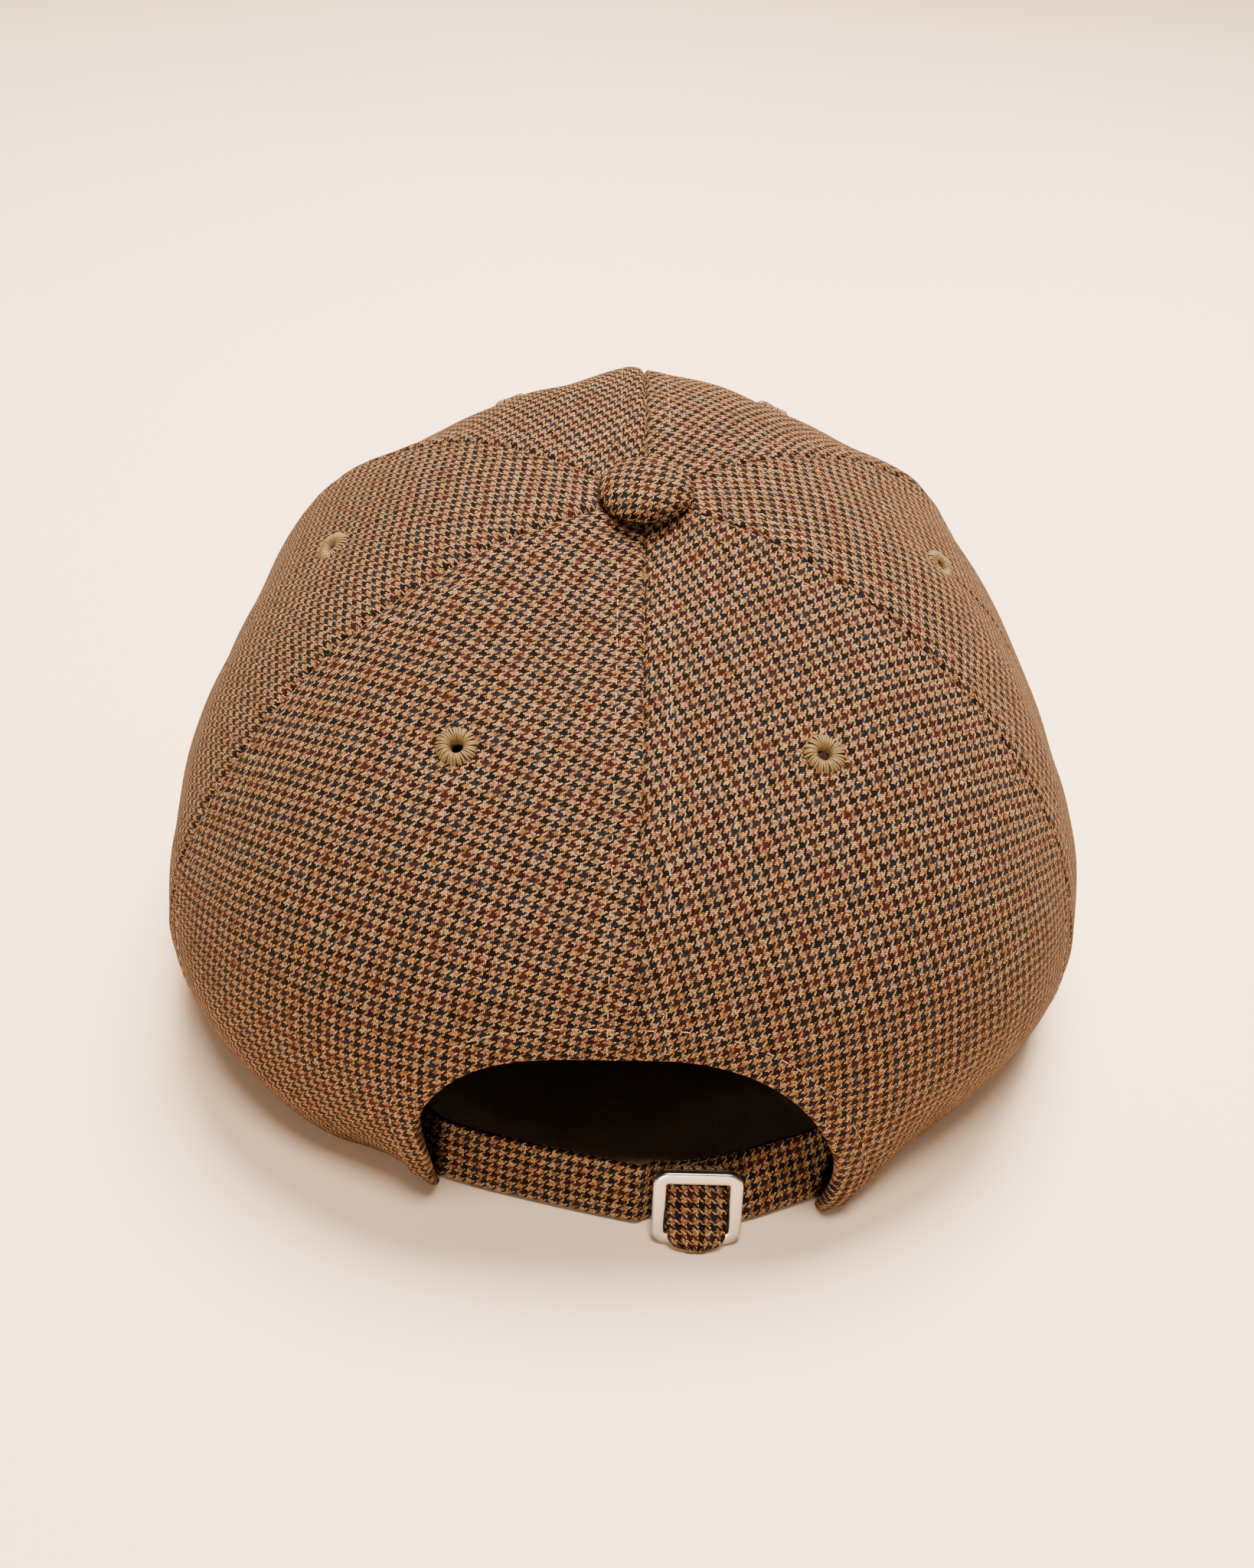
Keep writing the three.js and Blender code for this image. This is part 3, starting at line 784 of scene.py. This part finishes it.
def relief(panel, rise, points):
    """How far the sewn cloth stands out from the crown's plain face."""
    height = 0
    seam = 1e9
    for edge in (panel.first, panel.last):
        away = length(points - crown_point(edge, rise))
        depth = MIDDLE_SEAM_DEPTH if edge % 180 == 0 else SIDE_SEAM_DEPTH
        height = height - depth * np.exp(-(away / SEAM_WIDTH) ** 2)
        seam = np.minimum(seam, away)
    height += 0.22 * smoothstep(0.3, 1.5, seam) * (1 - smoothstep(4.7, 6.4, seam))
    height -= 0.2 * np.exp(-((seam - STITCH_OFFSET) / 0.5) ** 2)
    height += 0.16 * smooth_noise(points, 10, 11) * np.exp(-(seam / 8) ** 2)
    height += 0.35 * smooth_noise(points, 42, 5) + 0.1 * smooth_noise(points, 15, 6)
    eyelet = length(points - crown_point(panel.middle, EYELET_RISE))
    height -= 0.35 * np.exp(-(eyelet / 5) ** 2)
    if panel.side:
        opening = nearest_distance(points, panel.opening[2])
        low = 1 - smoothstep(0.1, 0.3, rise)
        ridge = 0.25 + 0.5 * low
        height += ridge * (1 - smoothstep(EDGE_STITCH_OFFSET - 0.3, EDGE_STITCH_OFFSET + 0.8, opening))
        height -= (0.22 + 0.2 * low) * np.exp(-((opening - EDGE_STITCH_OFFSET) / 0.5) ** 2)
    under_button = smoothstep(5, 11, np.hypot(points[..., 0], points[..., 1] - CROWN_LEAN))
    return np.where(height > 0, height * under_button, height)


def cloth_point(panel, bearing, rise):
    points = crown_point(bearing, rise)
    out = relief(panel, rise, points) + soft_bumps(FORMS, bearing, rise)
    return points + crown_normal(bearing, rise) * out[..., None]


def build_panel(panel):
    bearing, rise, depth, outside = panel_rows(panel, PANEL_COLUMNS)
    plain = crown_point(bearing, rise)
    height = relief(panel, rise, plain) * outside + soft_bumps(FORMS, bearing, rise) - depth
    points = plain + crown_normal(bearing, rise) * height[..., None]
    rows, columns = bearing.shape
    faces = grid_faces(rows, columns)
    eyelet = length(plain - crown_point(panel.middle, EYELET_RISE)).ravel()
    keep = eyelet[faces].min(1) > EYELET_HOLE_RADIUS + 0.6
    inside = np.repeat(np.arange(rows - 1) < INNER_ROWS + 4, columns - 1)
    add_piece(
        "cloth_" + panel.name, points, faces[keep], [WOOL, LINING],
        ["panel_" + panel.name], cloth_coordinates(panel, plain), inside[keep].astype(int),
    )


panels = [Panel(order, name) for order, name in enumerate(PANEL_NAMES)]
for panel in panels:
    build_panel(panel)


# Thread work

THREAD_SIDES = 6


def tubes(spines, ups, thick):
    """Round threads: spines holds each one's points, thick the radius at each of them."""
    around = circle(THREAD_SIDES)
    along = unit(np.gradient(spines, axis=1))
    side = unit(np.cross(along, ups))
    up = np.cross(side, along)
    out = up[:, :, None] * np.cos(around)[None, None, :, None]
    out = out + side[:, :, None] * np.sin(around)[None, None, :, None]
    points = spines[:, :, None] + out * np.asarray(thick)[None, :, None, None]
    ring = grid_faces(spines.shape[1], THREAD_SIDES, closed=True)
    each = np.arange(len(spines))[:, None, None] * spines.shape[1] * THREAD_SIDES
    return points.reshape(-1, 3), (ring[None] + each).reshape(-1, 4)


def joined(parts):
    """Points and faces of several meshes as one."""
    starts = np.cumsum([0] + [len(points) for points, _ in parts])
    faces = [each + start for (_, each), start in zip(parts, starts)]
    return np.concatenate([points for points, _ in parts]), np.concatenate(faces)


def stitches(name, rows, material, pitch=STITCH_PITCH):
    """Sewn rows: each stitch a short thread that dips into the cloth at both ends."""
    share = np.array([0, 0.14, 0.5, 0.86, 1])
    thick = STITCH_RADIUS * np.array([0.35, 0.9, 1, 0.9, 0.35])
    lift = STITCH_RADIUS * np.array([-1.3, -0.1, 0.25, -0.1, -1.3])
    parts = []
    for line, normals in rows:
        run = run_along(line)
        starts = (np.arange(int(run[-1] / pitch)) + 0.1) * pitch
        first = read_along(starts, run, line)
        last = read_along(starts + STITCH_SHARE * pitch, run, line)
        middle = read_along(starts + STITCH_SHARE / 2 * pitch, run, normals)
        ups = unit(middle)[:, None] * np.ones((1, len(share), 1))
        spines = first[:, None] + (last - first)[:, None] * share[:, None] + ups * lift[:, None]
        parts.append(tubes(spines, ups, thick))
    points, faces = joined(parts)
    add_piece(name, points, faces, [material])


SEAM_ROW_START = 4
SEAM_ROW_CLEAR = 13


def seam_row(panel, at_first):
    """A row beside a seam, from above the hem to beside the button."""
    bearing_seam = panel.first if at_first else panel.last
    rise = np.linspace(0.01, 0.99, 500)
    path = crown_point(bearing_seam, rise)
    speed = length(crown_point(bearing_seam + 0.5, rise) - crown_point(bearing_seam - 0.5, rise))
    bearing = bearing_seam + (1 if at_first else -1) * STITCH_OFFSET / speed
    keep = np.hypot(path[:, 0], path[:, 1] - CROWN_LEAN) > SEAM_ROW_CLEAR
    run = run_along(path)
    low = SEAM_ROW_START
    if bearing_seam == 180:
        low = np.interp(EDGE_LEFT[1][-1], rise, run) + 1
    keep &= run > low
    bearing, rise = bearing[keep], rise[keep]
    return cloth_point(panel, bearing, rise), crown_normal(bearing, rise)


EDGE_ROW_POINTS = 160


def over_row(panel):
    """A row that follows the opening's edge."""
    bearing, rise = panel.edge_row(EDGE_STITCH_OFFSET, EDGE_ROW_POINTS)
    if panel.side < 0:
        bearing, rise = bearing[::-1], rise[::-1]
    bearing, rise = bearing[EDGE_ROW_POINTS // 2:], rise[EDGE_ROW_POINTS // 2:]
    return cloth_point(panel, bearing, rise), crown_normal(bearing, rise)


def crown_stitches():
    rows = []
    for panel in panels:
        rows.append(seam_row(panel, True))
        rows.append(seam_row(panel, False))
        if panel.side:
            rows.append(over_row(panel))
    stitches("crown_stitches", rows, SEWING_THREAD)


def surface_axes(bearing, rise):
    """Sideways, upward and outward at a point of the crown."""
    normal = crown_normal(np.array([bearing]), np.array([rise]))[0]
    side = unit(np.cross((0, 0, 1), normal))
    return side, np.cross(normal, side), normal


EYELET_THREADS = 34

# A thread of an eyelet from inside its hole to its outer edge: radius, height, own thickness
EYELET_THREAD_PATH = [
    (1.15, -1.5, 0.14), (1.25, -0.5, 0.15), (1.5, 0.3, 0.17), (1.95, 0.72, 0.19), (2.5, 0.8, 0.22),
    (3.1, 0.6, 0.25), (3.6, 0.15, 0.27), (3.8, -0.4, 0.2),
]

# The padded ring under the threads: radius and height
EYELET_PADDING_PATH = [
    (1.9, -2.2), (1.3, -1.6), (1.4, 0), (1.9, 0.5), (2.5, 0.58), (3.1, 0.36), (3.6, -0.35),
]


def eyelet(panel, index):
    """A hole oversewn with close radial stitches over a padded ring."""
    side, up, normal = surface_axes(panel.middle, EYELET_RISE)
    centre = cloth_point(panel, np.array([panel.middle]), np.array([EYELET_RISE]))[0]
    random = np.random.default_rng(20 + index)
    turn = circle(EYELET_THREADS)
    turn = turn + random.normal(0, 0.02, EYELET_THREADS)
    wide = 1 + 0.035 * np.sin(2 * turn + index) + random.normal(0, 0.022, EYELET_THREADS)
    tall = 1 + random.normal(0, 0.07, EYELET_THREADS)
    sweep = random.normal(0.05, 0.03, EYELET_THREADS)
    radius, height, thick = np.array(EYELET_THREAD_PATH).T
    outer = smoothstep(1.2, 3, radius)
    reach = radius * (1 + (wide[:, None] - 1) * outer)
    angle = turn[:, None] + sweep[:, None] * (radius - 2)
    lift = np.where(height > 0, height * tall[:, None], height)
    spines = centre + on_ring(side, up, reach, angle) + normal * lift[..., None]
    ups = np.broadcast_to(normal, spines.shape)
    threads = tubes(spines, ups, thick)
    around = circle(48)
    # The padded ring's dark colour is painted shade between the stitches and in the hole.
    rings = [centre + normal * level + on_ring(side, up, out, around) for out, level in EYELET_PADDING_PATH]
    padding = np.concatenate(rings), grid_faces(len(rings), len(around), closed=True)[:, ::-1]
    points, faces = joined([threads, padding])
    under = np.arange(len(faces)) >= len(threads[1])
    add_piece("thread_eyelet_" + panel.name, points, faces, [EYELET_THREAD, EYELET_PADDING_PAINTED_SHADE],
              ["eyelet_" + panel.name], face_material=under.astype(int))


# Button

BUTTON_AXIS = np.array([0, math.sin(math.radians(BUTTON_TILT)), math.cos(math.radians(BUTTON_TILT))])


def crown_swell(distance):
    """How far the crown rises under the button, along the button's axis."""
    bearing = np.arange(0, 360, 5)
    rise = 1 - distance / (3 * outline_value(bearing, "high_out") * rim_radius(bearing))
    return max(0, ((crown_point(bearing, rise) - crown_point(0, 1)) @ BUTTON_AXIS).max())


def button():
    """A disc covered with cloth that is gathered under its edge."""
    side = np.array([-1.0, 0, 0])
    up = np.cross(BUTTON_AXIS, side)
    centre = crown_point(0, 1)
    edge = crown_swell(BUTTON_RADIUS) + BUTTON_LIFT
    around = np.linspace(0, 2 * math.pi, 181)
    random = np.random.default_rng(3)
    folds = np.zeros_like(around)
    for place in random.uniform(0, 2 * math.pi, 15):
        away = (around - place + math.pi) % (2 * math.pi) - math.pi
        folds -= random.uniform(0.08, 0.3) * np.exp(-(away / random.uniform(0.03, 0.08)) ** 2)
    folds[-1] = folds[0]
    outline = 0.18 * np.sin(2 * around + 0.6) + 0.1 * np.sin(3 * around + 2)
    rows, coordinates = [], []
    angles = np.radians(np.concatenate([[-80, -60, -40, -25, -12], np.linspace(0, 89.5, 34)]))
    run, last = 0, None
    for angle in angles[::-1]:
        radius = BUTTON_RADIUS * math.cos(angle) ** 0.72
        height = edge + (BUTTON_DOME if angle > 0 else BUTTON_SKIRT) * math.sin(angle)
        if last is not None:
            run += math.hypot(radius - last[0], height - last[1])
        last = (radius, height)
        gather = math.exp(-((angle + 0.1) / 0.5) ** 2)
        spread = radius + (folds * 1.2 + outline) * gather
        lump = 0.12 * np.sin(3 * around + radius * 0.5) * math.sin(min(max(angle, 0) * 2, math.pi))
        lift = height + folds * 0.5 * gather + lump
        rows.append(centre + on_ring(side, up, spread, around) + BUTTON_AXIS * lift[:, None])
        coordinates.append(np.stack([run * np.cos(around), run * np.sin(around)], -1))
    faces = grid_faces(len(rows), len(around))
    uv = turned(np.array(coordinates), 9) + 60
    add_piece("cloth_button", rows, faces, [WOOL], ["button"], uv)


# Peak

def rise_at_height(bearing, height):
    low = np.zeros_like(bearing)
    high = np.full_like(bearing, 0.5)
    for _ in range(24):
        middle = (low + high) / 2
        below = crown_point(bearing, middle)[..., 2] < height
        low, high = np.where(below, middle, low), np.where(below, high, middle)
    return low


# Distances of the peak's sewn rows from its rim
PEAK_ROWS = [3.2, 9.5, 16, 22.5, 29, 35.5, 42]
PEAK_COLUMNS = 201


class Peak:
    """The peak's plan and its two faces."""

    def __init__(self):
        bearing = PEAK_ATTACH_BEARING * np.linspace(-1, 1, PEAK_COLUMNS)
        ear = crown_point(PEAK_ATTACH_BEARING, 0)[0]
        ear_y = -float(rim_radius(PEAK_ATTACH_BEARING)) * math.cos(math.radians(PEAK_ATTACH_BEARING))
        under = arch_at(ear * np.sin(np.radians(bearing)))
        depth = RIM_FRONT_REACH + PEAK_REACH + ear_y
        turn = np.linspace(-1, 1, PEAK_COLUMNS) * math.pi / 2
        power = 2 / PEAK_SQUARENESS
        self.rim = np.stack([
            full_wave(np.sin(turn), power) * PEAK_HALF_WIDTH,
            ear_y - depth * np.maximum(np.cos(turn), 0) ** power,
        ], -1)
        self.roots = []
        for face in (0, 1):
            rise = rise_at_height(bearing, under + face * PEAK_THICKNESS)
            root = crown_point(bearing, rise) + crown_normal(bearing, rise) * GAP * 1.5
            self.roots.append(root[:, :2])
        self.outline = resampled(self.rim, 900)
        way = np.gradient(self.outline, axis=0)
        self.out = unit(np.stack([way[:, 1], -way[:, 0]], -1))

    def height(self, x, share, face):
        return np.maximum(0, arch_at(x) - PEAK_DROOP * share ** 2) + face * PEAK_THICKNESS

    def face(self, face, shares):
        """Grid of one face, rows from the crown to the rim, and its distance from the rim."""
        flat = self.roots[face] + (self.rim - self.roots[face]) * shares[:, None, None]
        z = self.height(flat[..., 0], shares[:, None], face)
        points = np.concatenate([flat, z[..., None]], -1)
        return points, nearest_distance(flat, self.outline)


def peak():
    made = Peak()
    radius = PEAK_THICKNESS / 2
    shares = np.concatenate([np.linspace(0, 0.9, 52), np.linspace(0.906, 1, 16)])
    lower, lower_edge = made.face(0, shares)
    upper, upper_edge = made.face(1, shares)
    for points, edge, sign in ((lower, lower_edge, -1), (upper, upper_edge, 1)):
        roll = radius - np.sqrt(np.maximum(radius ** 2 - np.maximum(radius - edge, 0) ** 2, 0))
        rows = sum(np.exp(-((edge - place) / 0.55) ** 2) for place in PEAK_ROWS)
        piping = 0.25 * np.exp(-((edge - 1.2) / 1) ** 2)
        points[..., 2] += sign * (piping * (sign > 0) - roll - 0.22 * rows)
        points[..., 2] += 0.12 * smooth_noise(points, 16, 31) * smoothstep(1, 5, edge)
    points = np.concatenate([lower, upper[::-1]])
    uv = np.stack([points[..., 0], points[..., 2] - points[..., 1]], -1)
    faces = grid_faces(*points.shape[:2])
    add_piece("cloth_peak", points, faces, [WOOL], ["peak"], uv + np.array([31.0, 12.0]))
    flat_upper = upper.reshape(-1, 3)
    lines = []
    for place in PEAK_ROWS:
        line = made.outline - made.out * place
        crown_bearing = np.degrees(np.arctan2(line[:, 0], -line[:, 1]))
        clear = np.hypot(line[:, 0], line[:, 1]) - rim_radius(crown_bearing)
        line = line[(clear > 2.5) & (line[:, 1] < -35)]
        if len(line) < 20:
            continue
        nearest = np.array([length(flat_upper[:, :2] - spot).argmin() for spot in line])
        z = np.convolve(np.pad(flat_upper[nearest, 2], 6, mode="edge"), np.ones(13) / 13, "valid")
        up = np.tile([0, 0, 1.0], (len(line), 1))
        lines.append((np.concatenate([line, z[:, None]], -1), up))
    stitches("peak_stitches", lines, SEWING_THREAD, 2.8)


# Sweatband

def sweatband():
    ends = back_bearing(OPENING_HALF_WIDTH + SWEATBAND_END_ROOM)
    bearing = np.linspace(-ends, ends, 300)
    hem = crown_point(bearing, 0)[..., 2]
    top = rise_at_height(bearing, hem + SWEATBAND_HEIGHT)
    near, far = WALL + 2 * GAP, WALL + 2 * GAP + SWEATBAND_THICKNESS
    section = [(0.97, near)]
    section += [(share, near) for share in (0.7, 0.4, 0.1)]
    section += [(0.02, near + 0.1), (0, (near + far) / 2), (0.02, far - 0.1)]
    section += [(share, far) for share in np.linspace(0.05, 0.95, 22)]
    section += [(0.985, far - 0.1), (1, (near + far) / 2), (0.985, near + 0.1)]
    rows, coordinates = [], []
    around = run_along(crown_point(bearing, 0 * bearing))
    for share, depth in section:
        rise = top * share
        points = crown_point(bearing, rise)
        inward = np.full(len(bearing), depth)
        if depth == far:
            inward += 0.25 * smooth_noise(points, 30, 41) - 0.25
            inward -= 0.3 * math.exp(-((share * SWEATBAND_HEIGHT - SWEATBAND_ROW) / 0.7) ** 2)
        rows.append(points - crown_normal(bearing, rise) * inward[:, None])
        level = share * SWEATBAND_HEIGHT + depth * 3
        coordinates.append(np.stack([around, np.full_like(around, level)], -1))
    faces = grid_faces(len(rows), len(bearing))
    add_piece("black_sweatband", rows, faces, [LINING], ["sweatband"], coordinates)
    rise = top * SWEATBAND_ROW / SWEATBAND_HEIGHT
    normals = -crown_normal(bearing, rise)
    line = crown_point(bearing, rise) + normals * (far - 0.5)
    stitches("sweatband_stitches", [(line, normals)], LINING_THREAD, 3.2)


# Strap, buckle and tab

def spline(knots, steps):
    """A centripetal Catmull-Rom line through the knots."""
    knots = np.concatenate([[2 * knots[0] - knots[1]], knots, [2 * knots[-1] - knots[-2]]])
    line = []
    for index in range(1, len(knots) - 2):
        part = knots[index - 1:index + 3]
        times = np.concatenate([[0], np.cumsum(np.sqrt(length(np.diff(part, axis=0))))])
        for time in np.linspace(times[1], times[2], steps, endpoint=False):
            ring = [part[k] + (part[k + 1] - part[k]) * (time - times[k]) / (times[k + 1] - times[k])
                    for k in range(3)]
            pair = [ring[k] + (ring[k + 1] - ring[k]) * (time - times[k]) / (times[k + 2] - times[k])
                    for k in range(2)]
            line.append(pair[0] + (pair[1] - pair[0]) * (time - times[1]) / (times[2] - times[1]))
    return np.array(line + [knots[-2]])


WINDOW_HALF = BUCKLE_WIDTH / 2 - BUCKLE_BAR
FOLD_FULLNESS = 0.12


def ribbon(name, centres, outs, ups, width, thickness, replaces, uv_origin, taper=None):
    """A flat tube of folded cloth along a line, with full edges and closed ends."""
    around = np.linspace(0, 2 * math.pi, 61) - math.pi / 2
    flat, thick = full_wave(np.sin(around), 0.42), full_wave(np.cos(around), 0.42)
    run = run_along(centres)
    taper = np.ones(len(centres)) if taper is None else taper
    end = np.minimum(run, run[-1] - run)
    close = np.sqrt(1 - np.maximum(1 - end / (thickness / 2), 0) ** 2) * 0.999 + 0.001
    rows, coordinates = [], []
    girth = run_along(np.stack([flat * width / 2, thick * thickness / 2], -1))
    for index, centre in enumerate(centres):
        half = width / 2 * taper[index] - thickness / 2 * (1 - close[index])
        body = thickness / 2 * close[index] * (1 - FOLD_FULLNESS * (1 - np.abs(flat) ** 6))
        rows.append(centre + ups[index] * (flat * half)[:, None] + outs[index] * (thick * body)[:, None])
        coordinates.append(np.stack([np.full_like(girth, run[index]), girth - girth[-1] / 2], -1))
    points = np.array(rows)
    faces = grid_faces(*points.shape[:2])
    if np.cross(ups[0], centres[1] - centres[0]) @ outs[0] < 0:
        faces = faces[:, ::-1]
    add_piece(name, points, faces, [WOOL], replaces, np.array(coordinates) + uv_origin)


def strap_stretch(from_across, to_across, depth_at, count):
    """Centres, ways out and ways up of a stretch of strap, at a depth behind the course."""
    course = spline(np.array(STRAP_COURSE, float), 60)
    place = resampled(course[(course[:, 0] <= from_across) & (course[:, 0] >= to_across)], count)
    way = unit(np.gradient(place[:, :2], axis=0))
    lean = np.radians(place[:, 2])
    level = np.stack([way[:, 1], -way[:, 0], 0 * lean], -1)
    upright = np.array([0, 0, 1])
    outs = level * np.cos(lean)[:, None] + upright * np.sin(lean)[:, None]
    ups = upright * np.cos(lean)[:, None] - level * np.sin(lean)[:, None]
    depth = depth_at(place[:, 0]) + STRAP_THICKNESS / 2
    centres = np.stack([place[:, 0], place[:, 1], np.full(count, STRAP_CENTRE_HEIGHT)], -1)
    return centres - outs * depth[:, None], outs, ups


def straps():
    end = STRAP_COURSE[0][0]
    under = STRAP_THICKNESS + GAP

    def long_depth(x):
        return under * np.clip((BUCKLE_ACROSS + WINDOW_HALF + 2 * BUCKLE_BAR - x) / BUCKLE_BAR, 0, 1)

    long = strap_stretch(end, STRAP_TAIL_END, long_depth, 240)
    short = strap_stretch(BUCKLE_ACROSS + WINDOW_HALF, -end, lambda x: 0 * x, 160)
    ribbon("cloth_strap_long", *long, LONG_STRAP_WIDTH, STRAP_THICKNESS, ["strap_long"], (3.0, 2.0))
    ribbon("cloth_strap_short", *short, SHORT_STRAP_WIDTH, STRAP_THICKNESS, ["strap_short"], (50.0, 7.0))


def buckle_frame():
    """Origin and axes of the buckle: its right, its up and its way out."""
    right = np.array([-1.0, 0, 0])
    up = np.array([0, -math.sin(BUCKLE_LEAN), math.cos(BUCKLE_LEAN)])
    origin = np.array([BUCKLE_ACROSS, BUCKLE_BACKWARD, BUCKLE_CENTRE_HEIGHT])
    return origin, right, up, np.cross(right, up)


BUCKLE_BACK = TAB_THICKNESS + 2 * GAP
BUCKLE_FRONT = BUCKLE_BACK + BUCKLE_THICKNESS


def buckle():
    origin, right, up, out = buckle_frame()
    corner = BUCKLE_CORNER - BUCKLE_BAR / 2
    half_wide, half_high = (BUCKLE_WIDTH - BUCKLE_BAR) / 2, (BUCKLE_HEIGHT - BUCKLE_BAR) / 2
    path = []
    for side, level, start in ((1, -1, -90), (1, 1, 0), (-1, 1, 90), (-1, -1, 180)):
        for angle in np.radians(np.linspace(start, start + 90, 13)):
            path.append((side * (half_wide - corner) + corner * math.cos(angle),
                         level * (half_high - corner) + corner * math.sin(angle)))
    path = np.array(path)
    way = np.roll(path, -1, 0) - np.roll(path, 1, 0)
    outward = unit(np.stack([way[:, 1], -way[:, 0]], -1))
    around = circle(24)
    wide = full_wave(np.cos(around), 0.5) * BUCKLE_BAR / 2
    high = full_wave(np.sin(around), 0.5) * BUCKLE_THICKNESS / 2
    flat = path[:, None] + outward[:, None] * wide[:, None]
    level = out * (BUCKLE_BACK + BUCKLE_THICKNESS / 2 + high)[:, None]
    points = origin + right * flat[..., :1] + up * flat[..., 1:] + level
    points = np.concatenate([points, points[:1]])
    faces = grid_faces(len(points), len(around), closed=True)[:, ::-1]
    add_piece("metal_buckle", points, faces, [METAL], ["buckle"])


def buckle_tab():
    origin, right, up, out = buckle_frame()
    knots = np.array(TAB_PATH) * (BUCKLE_HEIGHT / 2, BUCKLE_FRONT, 1)
    knots[-1, 0] -= TAB_TIP_DROP
    path = resampled(spline(knots, 14), 90)
    way = unit(np.gradient(path[:, :2], axis=0))
    facing = np.stack([way[:, 1], -way[:, 0]], -1)
    outs = up * facing[:, :1] + out * facing[:, 1:]
    centres = origin + up * path[:, :1] + out * (path[:, 1:2] + GAP) + outs * TAB_THICKNESS / 2
    sides = np.tile(right, (len(path), 1))
    ribbon("cloth_tab", centres, outs, sides, 2 * (WINDOW_HALF - GAP), TAB_THICKNESS, ["buckle_tab"],
           (80.0, 11.0), path[:, 2])


crown_stitches()
for index, panel in enumerate(panels):
    eyelet(panel, index)
button()
peak()
sweatband()
straps()
buckle()
buckle_tab()


# Stage, camera and lights

def stage():
    """A plain floor under the cap, eight metres square."""
    mesh = bpy.data.meshes.new("floor")
    corners = [(-4, -4, 0), (4, -4, 0), (4, 4, 0), (-4, 4, 0)]
    mesh.from_pydata(corners, [], [(0, 1, 2, 3)])
    mesh.materials.append(floor_finish())
    floor = placed("floor", mesh)


CAMERA_PLACE = np.array([7.9, 281.3, 246.7])
CAMERA_TARGET = np.array([1.039, -3.66, 26.902])
CAMERA_ROLL = math.radians(2.455)
FOCAL_PIXELS = 2018.278
PICTURE_WIDTH = 1638


def camera():
    back = unit(CAMERA_PLACE - CAMERA_TARGET)
    right = unit(np.cross(-back, (0, 0, 1)))
    up = np.cross(right, -back)
    across = right * math.cos(CAMERA_ROLL) + up * math.sin(CAMERA_ROLL)
    upward = up * math.cos(CAMERA_ROLL) - right * math.sin(CAMERA_ROLL)
    data = bpy.data.cameras.new("camera")
    data.sensor_fit = "HORIZONTAL"
    data.sensor_width = 36
    data.lens = 36 * FOCAL_PIXELS / PICTURE_WIDTH
    data.clip_start = 0.01
    eye = placed("camera", data)
    turn = Matrix(np.stack([across, upward, back], -1).tolist()).to_4x4()
    eye.matrix_world = Matrix.Translation(Vector((CAMERA_PLACE + SHIFT) * 0.001)) @ turn
    scene.camera = eye


LIGHT_TARGET = Vector((0, 0.02, 0.05))


def light(name, place, size, power, colour):
    data = bpy.data.lights.new(name, "AREA")
    data.shape = "DISK"
    data.size = size
    data.energy = power
    data.color = colour
    lamp = placed(name, data)
    lamp.location = place
    lamp.rotation_euler = (Vector(place) - LIGHT_TARGET).to_track_quat("Z", "Y").to_euler()


ROOM_LIGHT = 0.22
HORIZON_SHARE = 0.2
INTO_OPENING = (0, 0.74, 0.67)


def room():
    """Soft light all round, which fades out where it would shine into the back opening."""
    world = Shader("room", bpy.data.worlds)
    way = world.node("TexCoord")
    towards = world.node("VectorMath", 1, {"operation": "DOT_PRODUCT"}, i0=way, i1=INTO_OPENING)
    climb = world.node("SeparateXYZ", 2, i0=way)
    smooth = {"interpolation_type": "SMOOTHSTEP"}
    fade = world.node("MapRange", 0, smooth, i0=towards, i1=0.72, i2=0.9, i3=ROOM_LIGHT, i4=0.02)
    dim = world.node("MapRange", i0=climb, i1=0.0, i2=0.85, i3=HORIZON_SHARE, i4=1.0)
    background = world.tree.nodes["Background"]
    world.set(background, 0, (1, 0.93, 0.85, 1))
    world.set(background, 1, world.calc("MULTIPLY", fade, dim))
    scene.world = world.owner


# Lights: name, place in metres, size, power, colour
LIGHTS = [
    ("above_front", (-0.12, -0.36, 1.22), 0.7, 88, (1, 0.9, 0.79)),
    ("above_back", (-0.03, 0.38, 1.27), 0.35, 18, (1, 0.9, 0.79)),
    ("low_fill", (0.3, 2.2, 0.3), 0.4, 46, (1, 0.93, 0.85)),
]

stage()
camera()
room()
for row in LIGHTS:
    light(*row)
